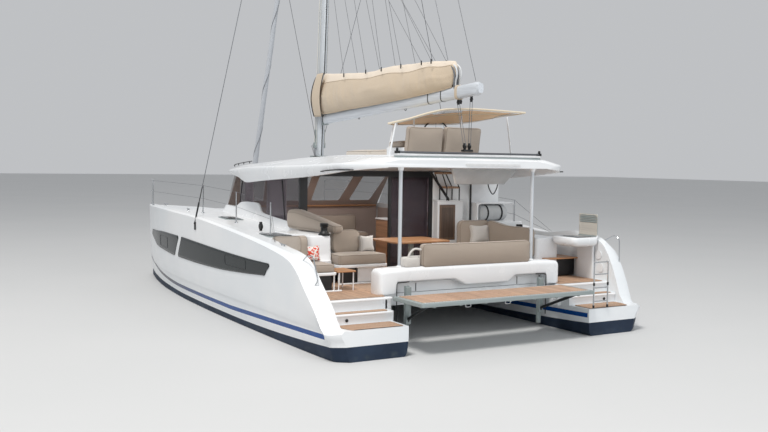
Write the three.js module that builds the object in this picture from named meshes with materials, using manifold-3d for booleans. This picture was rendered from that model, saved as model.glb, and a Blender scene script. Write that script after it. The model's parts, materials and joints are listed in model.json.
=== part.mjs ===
// A 12 m cruising catamaran, afloat. Millimetres, +X to the bow, +Y to port, +Z up.
// The origin is on the waterline, on the centreline, halfway along the hulls.
import * as THREE from 'three';
import { mergeVertices } from 'three/addons/utils/BufferGeometryUtils.js';
import Module from 'manifold-3d';

const wasm = await Module();
wasm.setup();

// Driving dimensions
const gap = 0.3;
const bridgeHalf = 1860;
const soleTop = 840;
const stepTop = 650;
const platformTop = 480;
const soleEdge = -5250;
const stepEdge = -5460;
const wingInner = 3000;
const bulkheadX = -2200;
const wallOuter = 2000;
const wallThick = 40;
const glassThick = 10;
const roofTop = 3160;
const mastRake = THREE.MathUtils.degToRad(3.14);
const mastFootX = 1050;
const mastFootZ = 3140;
const mastTopZ = 17800;
const houndsZ = 15900;
const hullCentre = 2560;

const mastX = (z) => mastFootX - (z - mastFootZ) * Math.tan(mastRake);

// The forestay's line, from the tack plate on the bow spar to the hounds
const stayFoot = [5300, 0, 1642];
const stayHead = [mastX(houndsZ) + 150, 0, houndsZ];
function alongStay(share) {
  return stayFoot.map((value, k) => value + (stayHead[k] - value) * share);
}

// Shares of the stay's length: drum, roll, and a gap of about 0.3 mm
const drumShare = 0.012;
const rollEnd = 0.93;
const seated = 0.00002;

// Hull sections: x, outer edge, inner edge, waterline outer and inner, inner deck height, keel depth
const hullSections = [
  [5965, 2465, 2375, 2455, 2385, 1840, -60],
  [5600, 2620, 2240, 2520, 2330, 1870, -380],
  [4600, 2860, 2020, 2720, 2180, 1900, -500],
  [3000, 3120, 1890, 2960, 2040, 1920, -560],
  [1000, 3270, 1861, 3120, 1960, 1860, -580],
  [-1000, 3300, 1861, 3180, 1940, 1720, -560],
  [-2350, 3300, 1861, 3190, 1935, 1620, -500],
  [-3350, 3300, 1861, 3190, 1930, 1620, -430],
  [-4450, 3300, 1861, 3180, 1920, 1600, -320],
  [-5250, 3300, 1861, 3170, 1900, 1600, -190],
  [-5800, 3290, 1875, 3150, 1900, 1600, -110],
  [-5965, 3080, 1885, 2960, 1905, 1600, -90],
];

// Sheer heights: x, z. The two sterns sweep down at different places.
const sheerForward = [
  [5965, 1840], [5600, 1860], [4600, 1880], [3000, 1910], [1000, 1880], [-1000, 1810],
  [-2350, 1755], [-3350, 1675],
];
const sheerStern = {
  port: [[-4050, 1610], [-4620, 1500], [-4900, 1330], [-5180, 1070], [-5490, 830], [-5840, 481],
    [-5965, 480]],
  starboard: [[-3800, 1700], [-4450, 1745], [-4850, 1650], [-5100, 1530], [-5280, 1300],
    [-5420, 1020], [-5680, 481], [-5965, 480]],
};

// Roof sections: x, half width, side's lower edge, side's upper edge, crown, underside
const roofSections = [
  [-4980, 1900, 2930, 3030, 3080, 2950],
  [-4880, 2180, 2910, 3040, 3160, 2950],
  [-4500, 2360, 2870, 3020, 3160, 2950],
  [-3200, 2380, 2750, 2980, 3160, 2900],
  [-2000, 2380, 2680, 2950, 3160, 2850],
  [-900, 2360, 2620, 2920, 3160, 2800],
  [-200, 2320, 2575, 2900, 3160, 2780],
  [600, 2240, 2690, 2860, 3120, 2780],
  [1300, 2120, 2745, 2830, 3020, 2780],
  [1750, 1900, 2755, 2815, 2920, 2780],
  [1980, 1450, 2760, 2800, 2850, 2775],
];

// Straight-line value between the rows of a table sorted by falling or rising x
function between(table, x, column = 1) {
  const rows = [...table].sort((a, b) => a[0] - b[0]);
  const found = rows.findIndex((row) => row[0] >= x);
  const after = found < 0 ? rows.length - 1 : Math.max(1, found);
  const [low, high] = [rows[after - 1], rows[after]];
  const share = (x - low[0]) / (high[0] - low[0]);
  return low[column] + share * (high[column] - low[column]);
}

// Geometry helpers
function toSolid(geometry) {
  const bare = geometry.clone();
  bare.deleteAttribute('normal');
  bare.deleteAttribute('uv');
  const merged = mergeVertices(bare, 1e-3);
  return new wasm.Manifold(new wasm.Mesh({
    numProp: 3,
    vertProperties: Float32Array.from(merged.attributes.position.array),
    triVerts: Uint32Array.from(merged.index.array),
  }));
}

function fromSolid(solid) {
  const data = solid.getMesh();
  const geometry = new THREE.BufferGeometry();
  geometry.setAttribute('position', new THREE.BufferAttribute(data.vertProperties, 3));
  geometry.setIndex(new THREE.BufferAttribute(data.triVerts, 1));
  return geometry;
}

function block(x0, x1, y0, y1, z0, z1) {
  const geometry = new THREE.BoxGeometry(Math.abs(x1 - x0), Math.abs(y1 - y0), z1 - z0);
  geometry.translate((x0 + x1) / 2, (y0 + y1) / 2, (z0 + z1) / 2);
  return toSolid(geometry);
}

// Rings of points [x, y, z] joined in order, closed by a fan at each end
function loft(rings) {
  const count = rings[0].length;
  const positions = rings.flat(2);
  const faces = [];
  for (let ring = 0; ring + 1 < rings.length; ring += 1) {
    for (let k = 0; k < count; k += 1) {
      const a = ring * count + k;
      const b = ring * count + (k + 1) % count;
      faces.push(a, b, b + count, a, b + count, a + count);
    }
  }
  for (const [ring, flip] of [[0, true], [rings.length - 1, false]]) {
    const flat = capTriangles(rings[ring]);
    for (const [a, b, c] of flat) {
      const start = ring * count;
      faces.push(start + a, start + (flip ? c : b), start + (flip ? b : c));
    }
  }
  const geometry = new THREE.BufferGeometry();
  geometry.setAttribute('position', new THREE.Float32BufferAttribute(positions, 3));
  geometry.setIndex(faces);
  const solid = toSolid(geometry);
  return solid.volume() > 0 ? solid : toSolid(reversed(geometry));
}

function reversed(geometry) {
  const index = Array.from(geometry.index.array);
  for (let k = 0; k < index.length; k += 3) [index[k], index[k + 1]] = [index[k + 1], index[k]];
  const turned = geometry.clone();
  turned.setIndex(index);
  return turned;
}

// Triangles that close a ring, seen along the direction in which it is thinnest
function capTriangles(ring) {
  const spans = [0, 1, 2].map((k) => {
    const values = ring.map((point) => point[k]);
    return Math.max(...values) - Math.min(...values);
  });
  const thin = spans.indexOf(Math.min(...spans));
  const [u, v] = [0, 1, 2].filter((k) => k !== thin);
  const contour = ring.map((point) => new THREE.Vector2(point[u], point[v]));
  const triangles = THREE.ShapeUtils.triangulateShape(contour, []);
  const turned = THREE.ShapeUtils.isClockWise(contour);
  return triangles.map(([a, b, c]) => (turned ? [a, c, b] : [a, b, c]));
}

// An outline in one plane, thickened along the third axis, with holes cut through it
function plate(axis, outline, from, to, holes = []) {
  const shape = new THREE.Shape(outline.map(([u, v]) => new THREE.Vector2(u, v)));
  const geometry = new THREE.ExtrudeGeometry(shape, { depth: Math.abs(to - from), bevelEnabled: false });
  const basis = {
    x: [[0, 1, 0], [0, 0, 1], [1, 0, 0]],
    y: [[1, 0, 0], [0, 0, 1], [0, -1, 0]],
    z: [[1, 0, 0], [0, 1, 0], [0, 0, 1]],
  }[axis].map((v) => new THREE.Vector3(...v));
  geometry.applyMatrix4(new THREE.Matrix4().makeBasis(...basis));
  const start = axis === 'y' ? Math.max(from, to) : Math.min(from, to);
  geometry.translate(...['x', 'y', 'z'].map((name) => (name === axis ? start : 0)));
  return holes.reduce(
    (solid, hole) => solid.subtract(plate(axis, hole, Math.min(from, to) - 5, Math.max(from, to) + 5)),
    toSolid(geometry),
  );
}

// A straight round bar between two points
function bar(a, b, radius, sides = 8, endRadius = radius) {
  const from = new THREE.Vector3(...a);
  const to = new THREE.Vector3(...b);
  const way = to.clone().sub(from);
  const geometry = new THREE.CylinderGeometry(endRadius, radius, way.length(), sides);
  geometry.translate(0, way.length() / 2, 0);
  const turn = new THREE.Quaternion().setFromUnitVectors(new THREE.Vector3(0, 1, 0), way.normalize());
  geometry.applyQuaternion(turn);
  geometry.translate(...a);
  return toSolid(geometry);
}

// Bars through a list of points with a ball at each inner corner
function piped(points, radius, sides = 8) {
  let solid = null;
  for (let k = 0; k + 1 < points.length; k += 1) {
    const piece = bar(points[k], points[k + 1], radius, sides);
    solid = solid ? solid.add(piece) : piece;
    if (k > 0) solid = solid.add(ball(points[k], radius * 1.02, sides));
  }
  return solid;
}

function ball(centre, radius, sides = 8) {
  const geometry = new THREE.SphereGeometry(radius, sides, Math.max(4, sides / 2));
  geometry.translate(...centre);
  return toSolid(geometry);
}

function ring(centre, axis, radius, tube, around = 24, sides = 6) {
  const geometry = new THREE.TorusGeometry(radius, tube, sides, around);
  const turn = new THREE.Quaternion().setFromUnitVectors(
    new THREE.Vector3(0, 0, 1),
    new THREE.Vector3(...axis).normalize(),
  );
  geometry.applyQuaternion(turn);
  geometry.translate(...centre);
  return toSolid(geometry);
}

function mirrorY(solid) {
  return solid.mirror([0, 1, 0]);
}

function joined(...solids) {
  return solids.reduce((whole, piece) => whole.add(piece));
}

const craft = new THREE.Group();
const paint = {
  gelcoat: [0xeceeef, 0.28, 0],
  greyMoulding: [0xc9cccd, 0.45, 0],
  hullGlass: [0x2c3236, 0.12, 0],
  tintedGlass: [0x3a3c42, 0.08, 0],
  darkFrame: [0x26292b, 0.4, 0.2],
  teak: [0xc39a78, 0.7, 0],
  wood: [0x6b4a35, 0.5, 0],
  cushion: [0xb0a396, 0.9, 0],
  canvas: [0xcdb99a, 0.9, 0],
  spar: [0xbfc4c8, 0.35, 0.8],
  steel: [0xc8cbcd, 0.2, 1],
  net: [0xd8d8d4, 0.9, 0],
  iron: [0x3c4650, 0.5, 0.2],
  black: [0x1c1d1f, 0.5, 0],
  bronze: [0x9c7a4a, 0.35, 0.9],
};

function put(name, solid, look) {
  const [color, roughness, metalness] = paint[look];
  const mesh = new THREE.Mesh(
    fromSolid(solid),
    new THREE.MeshStandardMaterial({ color, roughness, metalness }),
  );
  mesh.name = name;
  craft.add(mesh);
}

function onBothSides(name, makeSolid, look) {
  const solid = makeSolid('port');
  put(`${name}_port`, solid, look);
  put(`${name}_starboard`, mirrorY(makeSolid('starboard')), look);
}

// Hull: lofted through its sections, with stub, steps and cockpit well cut into it
function sheerZ(side, x) {
  return between([...sheerForward, ...sheerStern[side]], x);
}

const knuckleZ = 780;
function hullRing(side, x) {
  const value = (column) => between(hullSections, x, column);
  const [outer, inner, wetOuter, wetInner, deck, keel] = [1, 2, 3, 4, 5, 6].map(value);
  const sheer = sheerZ(side, x);
  const middle = (wetOuter + wetInner) / 2;
  const half = (wetOuter - wetInner) / 2;
  const inside = Math.min(deck, sheer);
  return [
    [x, outer, sheer],
    [x, outer, Math.min(knuckleZ, sheer - 120)],
    [x, wetOuter, 185],
    [x, middle + half * 0.86, keel * 0.36],
    [x, middle + half * 0.42, keel * 0.84],
    [x, middle, keel],
    [x, middle - half * 0.42, keel * 0.84],
    [x, middle - half * 0.86, keel * 0.36],
    [x, wetInner, 185],
    [x, inner, Math.min(620, inside - 120)],
    [x, inner, inside],
    [x, inner + (outer - inner) * 0.33, inside],
    [x, outer - (outer - inner) * 0.09, Math.max(inside, sheer - 30)],
  ];
}

function hullStations(side) {
  const all = [...hullSections, ...sheerForward, ...sheerStern[side]].map(([x]) => x);
  return [...new Set(all)].sort((a, b) => b - a);
}

function hullBody(side) {
  const body = loft(hullStations(side).map((x) => hullRing(side, x)));
  const well = block(soleEdge, bulkheadX, 1000, wingInner, soleTop, 2500);
  const tread = block(stepEdge, soleEdge + 50, 1000, wingInner, stepTop, 2500);
  const landing = block(-6200, stepEdge + 50, 1000, wingInner, platformTop, 2500);
  return body.subtract(well).subtract(tread).subtract(landing);
}

const ladderHinge = { x: -5990, z: 500 };
const keelX = -300;
const keelBottom = -1200;
const rudderX = -5150;
const rudderTop = -300;
const driveX = -4300;
const shaftZ = -700;

// A blade of plan points x, half thickness, lofted between two heights with a size at each
function blade(profile, x0, levels) {
  const sections = levels.map(([z, size, rake]) => [
    ...profile.map(([x, t]) => [x0 + x * size + rake, hullCentre + t * size, z]),
    ...[...profile].reverse().map(([x, t]) => [x0 + x * size + rake, hullCentre - t * size, z]),
  ]);
  return loft(sections);
}

const keelShape = [[1200, 20], [950, 85], [400, 115], [-400, 100], [-1200, 15]];
function hull(side) {
  const keel = blade(keelShape, keelX, [[-250, 1, 0], [keelBottom, 0.86, -160]]);
  const bearing = bar([rudderX, hullCentre, rudderTop], [rudderX, hullCentre, 0], 70, 12);
  if (side === 'port') return joined(hullBody(side), keel, bearing);
  const lugs = [[1905, 1929.7], [2320.3, 2345]].map(
    ([y0, y1]) => block(-6005, -5955, y0, y1, ladderHinge.z - 60, ladderHinge.z - 20)
      .add(block(-6005, -5975, y0, y1, ladderHinge.z - 60, ladderHinge.z + 15)),
  );
  return joined(hullBody(side), keel, bearing, ...lugs);
}
onBothSides('hull', hull, 'gelcoat');

// Spade rudder on a stock, turning about a vertical axis
const rudderShape = [[150, 14], [60, 34], [-120, 30], [-370, 6]];
function rudder() {
  const leaf = blade(rudderShape, rudderX, [[-360, 1, 0], [-1090, 0.72, 0]]);
  const stock = bar([rudderX, hullCentre, -500], [rudderX, hullCentre, rudderTop - gap], 32, 12);
  return joined(leaf, stock);
}
onBothSides('rudder', rudder, 'gelcoat');

// Saildrive leg below the hull, and the propeller behind it
const legShape = [[130, 20], [40, 52], [-120, 30]];
function driveLeg() {
  const leg = blade(legShape, driveX, [[-200, 1, 0], [shaftZ + 30, 1, 0]]);
  const pod = bar([driveX + 150, hullCentre, shaftZ], [driveX - 150, hullCentre, shaftZ], 52, 12);
  return joined(leg, pod).subtract(hullBody('port').translate([0, 0, -gap]));
}
onBothSides('drive_leg', driveLeg, 'greyMoulding');

function propeller() {
  const hub = bar([driveX - 150 - gap, hullCentre, shaftZ], [driveX - 255, hullCentre, shaftZ], 38, 12, 26);
  let whole = hub;
  for (let blade = 0; blade < 3; blade += 1) {
    const leaf = new THREE.BoxGeometry(14, 70, 170);
    leaf.translate(0, 0, 110);
    leaf.applyMatrix4(new THREE.Matrix4().makeRotationZ(0.55));
    leaf.applyMatrix4(new THREE.Matrix4().makeRotationX(blade * 2 * Math.PI / 3));
    leaf.translate(driveX - 200, hullCentre, shaftZ);
    whole = whole.add(toSolid(leaf));
  }
  return whole;
}
onBothSides('propeller', propeller, 'bronze');

// Bridge deck between the hulls: x, z outline, with the cockpit sole on top and a foredeck in front
const bridgeFront = 3500;
const bridgeAft = -4950;
const foredeckAft = 1780;
const foredeckZ = 1840;
const floorUnder = 640;
function bridgeDeck() {
  const outline = [
    [bridgeAft, floorUnder], [2700, floorUnder], [bridgeFront, 1050], [bridgeFront, foredeckZ],
    [foredeckAft, foredeckZ], [foredeckAft, soleTop], [bridgeAft, soleTop],
  ];
  const well = block(2390, 2860, 490, 1260, foredeckZ - 420, foredeckZ + 10);
  return plate('y', outline, -bridgeHalf, bridgeHalf).subtract(well).subtract(mirrorY(well));
}
put('bridge_deck', bridgeDeck(), 'gelcoat');

// Aft beam across the cockpit's end: a deep edge on two legs, with a sill in front
const beam = { aft: -5120, front: -4760, half: 1930, leg: 1600, under: 1000, top: 1290 };
function aftBeam() {
  const top = block(beam.aft, beam.front, -beam.half, beam.half, beam.under, beam.top);
  const bulge = block(beam.aft, beam.front, -900, 850, 900, beam.under + 10);
  const legs = [1, -1].map((side) => block(
    beam.aft, beam.front, side * beam.leg, side * beam.half, soleTop + gap, beam.under + 10,
  ).subtract(block(-5400, bridgeAft + gap, side * 1400, side * (bridgeHalf + gap), 0, 900)));
  const sill = block(bridgeAft, beam.front, -beam.leg, beam.leg, soleTop + gap, beam.under + 10);
  return joined(top, bulge, sill, ...legs);
}
const lift = { railY: 1420, deckTop: 860, aft: -6200, front: -5300, half: 1800 };
const post = { x: -4890, y: 1416, top: 2950 };
function beamWithPosts() {
  const oneSide = (side) => joined(
    block(-5170, beam.aft + 10, side * (lift.railY - 40), side * (lift.railY + 40), 150, 1200),
    bar([post.x, side * post.y, beam.top - 20], [post.x, side * post.y, post.top - gap], 30, 12),
  );
  return joined(aftBeam(), oneSide(1), oneSide(-1));
}
put('aft_beam', beamWithPosts(), 'gelcoat');

// Stern lift platform on the two upright rails behind the beam
function liftPlatform() {
  const slats = block(lift.aft, lift.front, -lift.half, lift.half, lift.deckTop - 30, lift.deckTop);
  const frame = block(lift.aft + 20, lift.front - 20, -lift.half + 20, lift.half - 20, 770, 835)
    .subtract(block(lift.aft + 80, lift.front - 80, -lift.half + 90, lift.half - 90, 700, 829));
  let whole = joined(slats, frame);
  for (const side of [1, -1]) {
    const y = side * lift.railY;
    const carriage = block(-5215, -5170 - gap, y - 50, y + 50, 350, 1150);
    const arm = block(-5330, -5200, y - 30, y + 30, 775, 830);
    const brace = bar([-5195, y, 400], [-6000, side * 1560, 790], 26, 8);
    whole = joined(whole, carriage, arm, brace);
  }
  return whole;
}
put('lift_platform', liftPlatform(), 'teak');

// Front crossbeam with its bow spar, and a net on each side of the spar
const crossX = 5250;
const hullPairBody = joined(hullBody('port'), mirrorY(hullBody('starboard')));
function crossBeam() {
  const cross = bar([crossX, -2160, 1560], [crossX, 2160, 1560], 80, 12);
  const spar = joined(
    block(bridgeFront + gap, crossX + 150, -110, 110, 1500, 1640),
    bar(alongStay(-0.002), alongStay(drumShare - seated), 40, 10),
  );
  const ends = hullPairBody.translate([0, 0, gap]).add(hullPairBody.translate([gap, 0, 0]));
  return joined(cross, spar).subtract(ends).subtract(hullPairBody.translate([-gap, 0, -gap]));
}
put('crossbeam', crossBeam(), 'spar');

function net() {
  const outline = [
    [bridgeFront + gap, 110 + gap], [crossX - 80, 110 + gap], [crossX - 80, 2050], [4600, 2000],
    [bridgeFront + gap, 1900],
  ];
  return plate('z', outline, 1570, 1590);
}
put('net_port', net(), 'net');
put('net_starboard', mirrorY(net()), 'net');

// Saloon walls stand on the hull's deck and reach the underside of the roof
const deckZ = (x) => between(hullSections, x, 5);
const underRoof = (x) => between(roofSections, x, 5);
const wallForward = 1830;
const wallTopForward = 1150;
const sideWindow = [
  [-2090, 1700], [-1700, 1720], [-300, 1910], [900, 2060], [1620, 2080],
  [1180, 2715], [-200, 2715], [-900, 2735], [-2090, 2790],
];
function sideWall() {
  const bottom = [-2200, -1000, 1000, wallForward].map((x) => [x, deckZ(x) + gap]);
  const top = [wallTopForward, 600, -200, -900, -2000, -2200].map((x) => [x, underRoof(x) - gap]);
  return plate('y', [...bottom, ...top], wallOuter - wallThick, wallOuter, [sideWindow]);
}
put('saloon_wall_port', sideWall(), 'gelcoat');
put('saloon_wall_starboard', mirrorY(sideWall()), 'gelcoat');

// Shrinks an outline towards its middle so that a pane sits in its opening with a small gap
function shrunk(outline, by) {
  const middle = [0, 1].map((k) => outline.reduce((sum, point) => sum + point[k], 0) / outline.length);
  return outline.map((point) => point.map((value, k) => {
    const reach = value - middle[k];
    return middle[k] + Math.sign(reach) * Math.max(0, Math.abs(reach) - by);
  }));
}

function sidePane() {
  return plate('y', shrunk(sideWindow, 0.5), wallOuter - 25, wallOuter - 25 + glassThick);
}
put('side_glass_port', sidePane(), 'tintedGlass');
put('side_glass_starboard', mirrorY(sidePane()), 'tintedGlass');

// Windscreen wall leans aft: built upright, then sheared
const screenLean = (wallTopForward - wallForward) / (underRoof(wallTopForward) - deckZ(wallForward));
const inner = wallOuter - wallThick - gap;
function leaned(solid, baseX, baseZ) {
  return solid.transform([
    1, 0, 0, 0, 0, 1, 0, 0, screenLean, 0, 1, 0, baseX - screenLean * baseZ, 0, 0, 1,
  ]);
}
const screenWindows = [[-1900, -720], [-640, 640], [720, 1900]].map(
  ([y0, y1]) => [[y0, 1980], [y1, 1980], [y1, 2700], [y0, 2700]],
);
function screenWall() {
  const step = deckZ(wallForward) + 6;
  const outline = [
    [-inner, step], [-bridgeHalf, step], [-bridgeHalf, foredeckZ + gap], [bridgeHalf, foredeckZ + gap],
    [bridgeHalf, step], [inner, step], [inner, 2780 - gap], [-inner, 2780 - gap],
  ];
  const wall = plate('x', outline, -wallThick, 0, screenWindows);
  return leaned(wall, wallForward, deckZ(wallForward));
}
put('screen_wall', screenWall(), 'gelcoat');
const screenSheet = [[-1920, 1950], [1920, 1950], [1920, 2730], [-1920, 2730]];
put('screen_glass', leaned(plate('x', screenSheet, gap, 8), wallForward, deckZ(wallForward)), 'tintedGlass');

// Aft bulkhead with the saloon doorway to port and a fixed pane beside it
const door = { port: 1845, starboard: 30, sill: 870, head: 2745, leaf: 920 };
const fixedPane = [[-930, 900], [-20, 900], [-20, 2730], [-930, 2730]];
function aftBulkhead() {
  const ledge = deckZ(bulkheadX) + 8;
  const top = Math.min(underRoof(bulkheadX), underRoof(bulkheadX + wallThick)) - gap;
  const outline = [
    [-inner, ledge], [-bridgeHalf, ledge], [-bridgeHalf, soleTop + gap], [bridgeHalf, soleTop + gap],
    [bridgeHalf, ledge], [inner, ledge], [inner, top], [-inner, top],
  ];
  const doorway = [
    [door.starboard, door.sill], [door.port, door.sill], [door.port, door.head], [door.starboard, door.head],
  ];
  const panel = plate('x', outline, bulkheadX, bulkheadX + wallThick, [doorway, fixedPane]);
  const track = block(bulkheadX + 20, bulkheadX + 110, -1800, 1840, soleTop + gap, door.sill);
  return joined(panel, track);
}
put('aft_bulkhead', aftBulkhead(), 'darkFrame');
put('bulkhead_glass', plate('x', shrunk(fixedPane, 0.5), bulkheadX + 14, bulkheadX + 24), 'tintedGlass');

// Two sliding door leaves, parked behind the fixed pane as in open weather
function doorLeaf(track) {
  const x = bulkheadX + wallThick + 8 + track * 34;
  const outline = [
    [-door.leaf, door.sill + gap], [0, door.sill + gap], [0, door.head - 5], [-door.leaf, door.head - 5],
  ];
  return plate('x', outline, x, x + 26);
}
put('door_leaf_inner', doorLeaf(0), 'tintedGlass');
put('door_leaf_outer', doorLeaf(1), 'tintedGlass');
// Roof: one shell over saloon and cockpit, open above the helm footwell
function roofRing([x, half, low, up, crown, under]) {
  const flat = Math.min(1700, half - 350);
  const oneSide = [
    [flat, crown], [half - 90, up], [half, (low + up) / 2], [half - 30, low], [half - 100, low],
    [half - 125, under],
  ];
  return [
    ...oneSide.map(([y, z]) => [x, y, z]),
    ...[...oneSide].reverse().map(([y, z]) => [x, -y, z]),
  ];
}
const benchTop = 3300;
const stair = { port: -1060, starboard: -1590 };
const footwell = { aft: -3750, front: -2950, port: -350, starboard: -2050, under: 2620 };
function roofShell() {
  return loft([...roofSections].reverse().map(roofRing));
}
const mastStep = block(mastFootX - 190, mastFootX + 190, -170, 170, 2950, mastFootZ);
function roof() {
  const opening = block(footwell.aft + 90, footwell.front - 90, footwell.starboard + 90, footwell.port - 90, 2500, 3500);
  const stairway = block(-3200, -2330, stair.starboard, stair.port, 2500, 3500);
  const bench = block(-4300, -3700, -760, 1020, roofTop - 20, benchTop);
  return joined(roofShell().subtract(opening).subtract(stairway), mastStep, bench, helmConsole());
}
const wheel = { x: -2930, y: -580, z: 3530, radius: 330 };
function helmConsole() {
  const outline = [
    [-2820, roofTop - 20], [-2400, roofTop - 20], [-2450, 3800], [-2700, 3800], [-2860, 3560],
  ];
  const body = plate('y', outline, -1030, -130);
  const shaft = bar([-2800, wheel.y, wheel.z], [wheel.x + 30, wheel.y, wheel.z], 22, 10);
  return joined(body, shaft);
}
put('roof', roof(), 'gelcoat');

function helmFootwell() {
  const { aft, front, port, starboard, under } = footwell;
  const ringAt = (z, grow) => [
    [aft - grow, starboard - grow, z], [front + grow, starboard - grow, z],
    [front + grow, port + grow, z], [aft - grow, port + grow, z],
  ];
  const tub = loft([ringAt(under, -70), ringAt(under + 400, 60)]);
  const hollow = loft([ringAt(under + 35, -110), ringAt(under + 400, 20)]);
  const ceiling = roofShell().translate([0, 0, -gap]);
  const above = block(-4900, -2000, -2500, 2500, 2951, 3400);
  const doorway = block(-3150, -2800, stair.starboard, stair.port, under + 36, 3200);
  return tub.subtract(hollow).subtract(ceiling).subtract(above).subtract(doorway);
}
put('helm_footwell', helmFootwell(), 'greyMoulding');

// Roof helm: a bench with two backrests, a console with the wheel, a pad and a canopy on poles
const onRoof = roofTop + gap;
function cushion(x0, x1, y0, y1, z0, z1) {
  const edge = Math.min(28, (z1 - z0) * 0.3);
  const shape = new THREE.Shape([
    new THREE.Vector2(x0 + edge, y0 + edge), new THREE.Vector2(x1 - edge, y0 + edge),
    new THREE.Vector2(x1 - edge, y1 - edge), new THREE.Vector2(x0 + edge, y1 - edge),
  ]);
  const geometry = new THREE.ExtrudeGeometry(shape, {
    depth: z1 - z0 - 2 * edge, bevelThickness: edge, bevelSize: edge, bevelSegments: 1,
  });
  geometry.translate(0, 0, z0 + edge);
  return toSolid(geometry);
}
function helmCushions() {
  const seat = cushion(-4180, -3720, -740, 1000, benchTop + gap, 3400);
  const backs = [[130, 1000], [-740, 90]].map(([y0, y1]) => cushion(-4280, -4130, y0, y1, benchTop + gap, 3690));
  return joined(seat, ...backs);
}
put('helm_cushions', helmCushions(), 'cushion');
put('roof_pad', cushion(-3300, -1100, 90, 1100, onRoof, 3270), 'cushion');

function steeringWheel() {
  const rim = ring([wheel.x, wheel.y, wheel.z], [1, 0, 0], wheel.radius, 14);
  const hub = bar([wheel.x - 25, wheel.y, wheel.z], [wheel.x + 30 - gap, wheel.y, wheel.z], 40, 12);
  let whole = joined(rim, hub);
  for (let spoke = 0; spoke < 5; spoke += 1) {
    const angle = spoke * 2 * Math.PI / 5;
    const tip = [wheel.x, wheel.y + Math.cos(angle) * wheel.radius, wheel.z + Math.sin(angle) * wheel.radius];
    whole = whole.add(bar([wheel.x, wheel.y, wheel.z], tip, 8, 6));
  }
  return whole;
}
put('steering_wheel', steeringWheel(), 'black');

// Canopy: x, y, z of its corners along three ribs
const canopyRows = [
  [1300, 3700], [900, 3830], [250, 3960], [-700, 3980], [-1600, 3950], [-2150, 3900],
];
function canopy() {
  const sheet = canopyRows.map(([y, z]) => [
    [-4400, y, z], [-2500, y, z + 10], [-2500, y, z + 42], [-4400, y, z + 35],
  ]);
  return loft(sheet);
}
put('canopy', canopy(), 'canvas');
const poleRows = [[1180, 1150], [30, 30], [-2000, -1650]];
const canopyPoleX = [-4340, -2560];
function canopyFrame() {
  let whole = null;
  for (const x of canopyPoleX) {
    const under = (y) => between(canopyRows, y) + (x > -3000 ? 9 : 1) - 15.5;
    for (const [y, foot] of poleRows) {
      const pole = bar([x, foot, onRoof], [x, y, under(y)], 16, 8);
      whole = whole ? whole.add(pole) : pole;
    }
    const bow = canopyRows.slice(0, -1).map(([y]) => [x, Math.min(y, 1200), under(Math.min(y, 1200))]);
    whole = whole.add(piped([...bow, [x, -2050, under(-2050)]], 14, 6));
  }
  const runner = canopyPoleX.map((x) => [x, 30, between(canopyRows, 30) + (x > -3000 ? 9 : 1) - 15.5]);
  return whole.add(bar(runner[0], runner[1], 12, 6)).subtract(block(-4500, -2400, -2000, 1300, 3000, onRoof));
}
put('canopy_frame', canopyFrame(), 'gelcoat');

// Mainsheet track on the roof's aft edge, with its car
function track() {
  const rail = block(-4840, -4760, -1600, 1420, roofTop + 25, roofTop + 75);
  const feet = [-1500, -500, 450, 1330].map((y) => block(-4830, -4770, y - 60, y + 60, onRoof, roofTop + 40));
  return joined(rail, ...feet);
}
put('traveller_track', track(), 'spar');
function sheetCar() {
  const saddle = block(-4850, -4750, -70, 70, roofTop + 75 + gap, roofTop + 110);
  const cheeks = [-35, 35].map((y) => bar([-4800, y - 12, 3330], [-4800, y + 12, 3330], 45, 12));
  const neck = block(-4815, -4785, -45, 45, roofTop + 100, 3330);
  return joined(saddle, neck, ...cheeks);
}
put('traveller_car', sheetCar(), 'black');

// Mast, raked aft, with one pair of spreaders; boom and sail bag turn about its gooseneck
function sparSection(x, z, long, wide) {
  const points = [];
  for (let k = 0; k < 12; k += 1) {
    const angle = k * Math.PI / 6;
    points.push([x + Math.cos(angle) * long / 2, Math.sin(angle) * wide / 2, z]);
  }
  return points;
}
const spreaderZ = 8600;
const spreaderTip = 1400;
function mast() {
  const tube = loft([
    sparSection(mastX(mastFootZ), mastFootZ + gap, 270, 180), sparSection(mastX(15500), 15500, 270, 180),
    sparSection(mastX(mastTopZ), mastTopZ, 160, 110),
  ]);
  const spreaders = [1, -1].map((side) => bar(
    [mastX(spreaderZ), side * 40, spreaderZ], [mastX(spreaderZ) - 60, side * spreaderTip, spreaderZ + 50], 34, 8, 22,
  ));
  const goose = bar([mastX(3960), 0, 3900], [mastX(3960) - 215, 0, 3900], 30, 8);
  const stay = bar(alongStay(1.012), alongStay(rollEnd + seated), 8, 6);
  return joined(tube, ...spreaders, goose, stay);
}
put('mast', mast(), 'spar');

const boom = { pivotX: mastX(3900) - 200, front: 780, aft: -5170, frontZ: 3990, aftZ: 4330, deep: 230, wide: 150 };
function boomSection(x) {
  const z = boom.frontZ + (boom.front - x) / (boom.front - boom.aft) * (boom.aftZ - boom.frontZ);
  const points = [];
  for (let k = 0; k < 10; k += 1) {
    const angle = k * Math.PI / 5;
    points.push([x, Math.cos(angle) * boom.wide / 2, z + Math.sin(angle) * boom.deep / 2]);
  }
  return points;
}
function boomSpar() {
  const tube = loft([boomSection(760), boomSection(boom.aft)]);
  const lug = block(720, boom.pivotX + 28, -22, 22, 3930 + gap, 4030);
  return joined(tube, lug);
}
put('boom', boomSpar(), 'spar');

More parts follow.
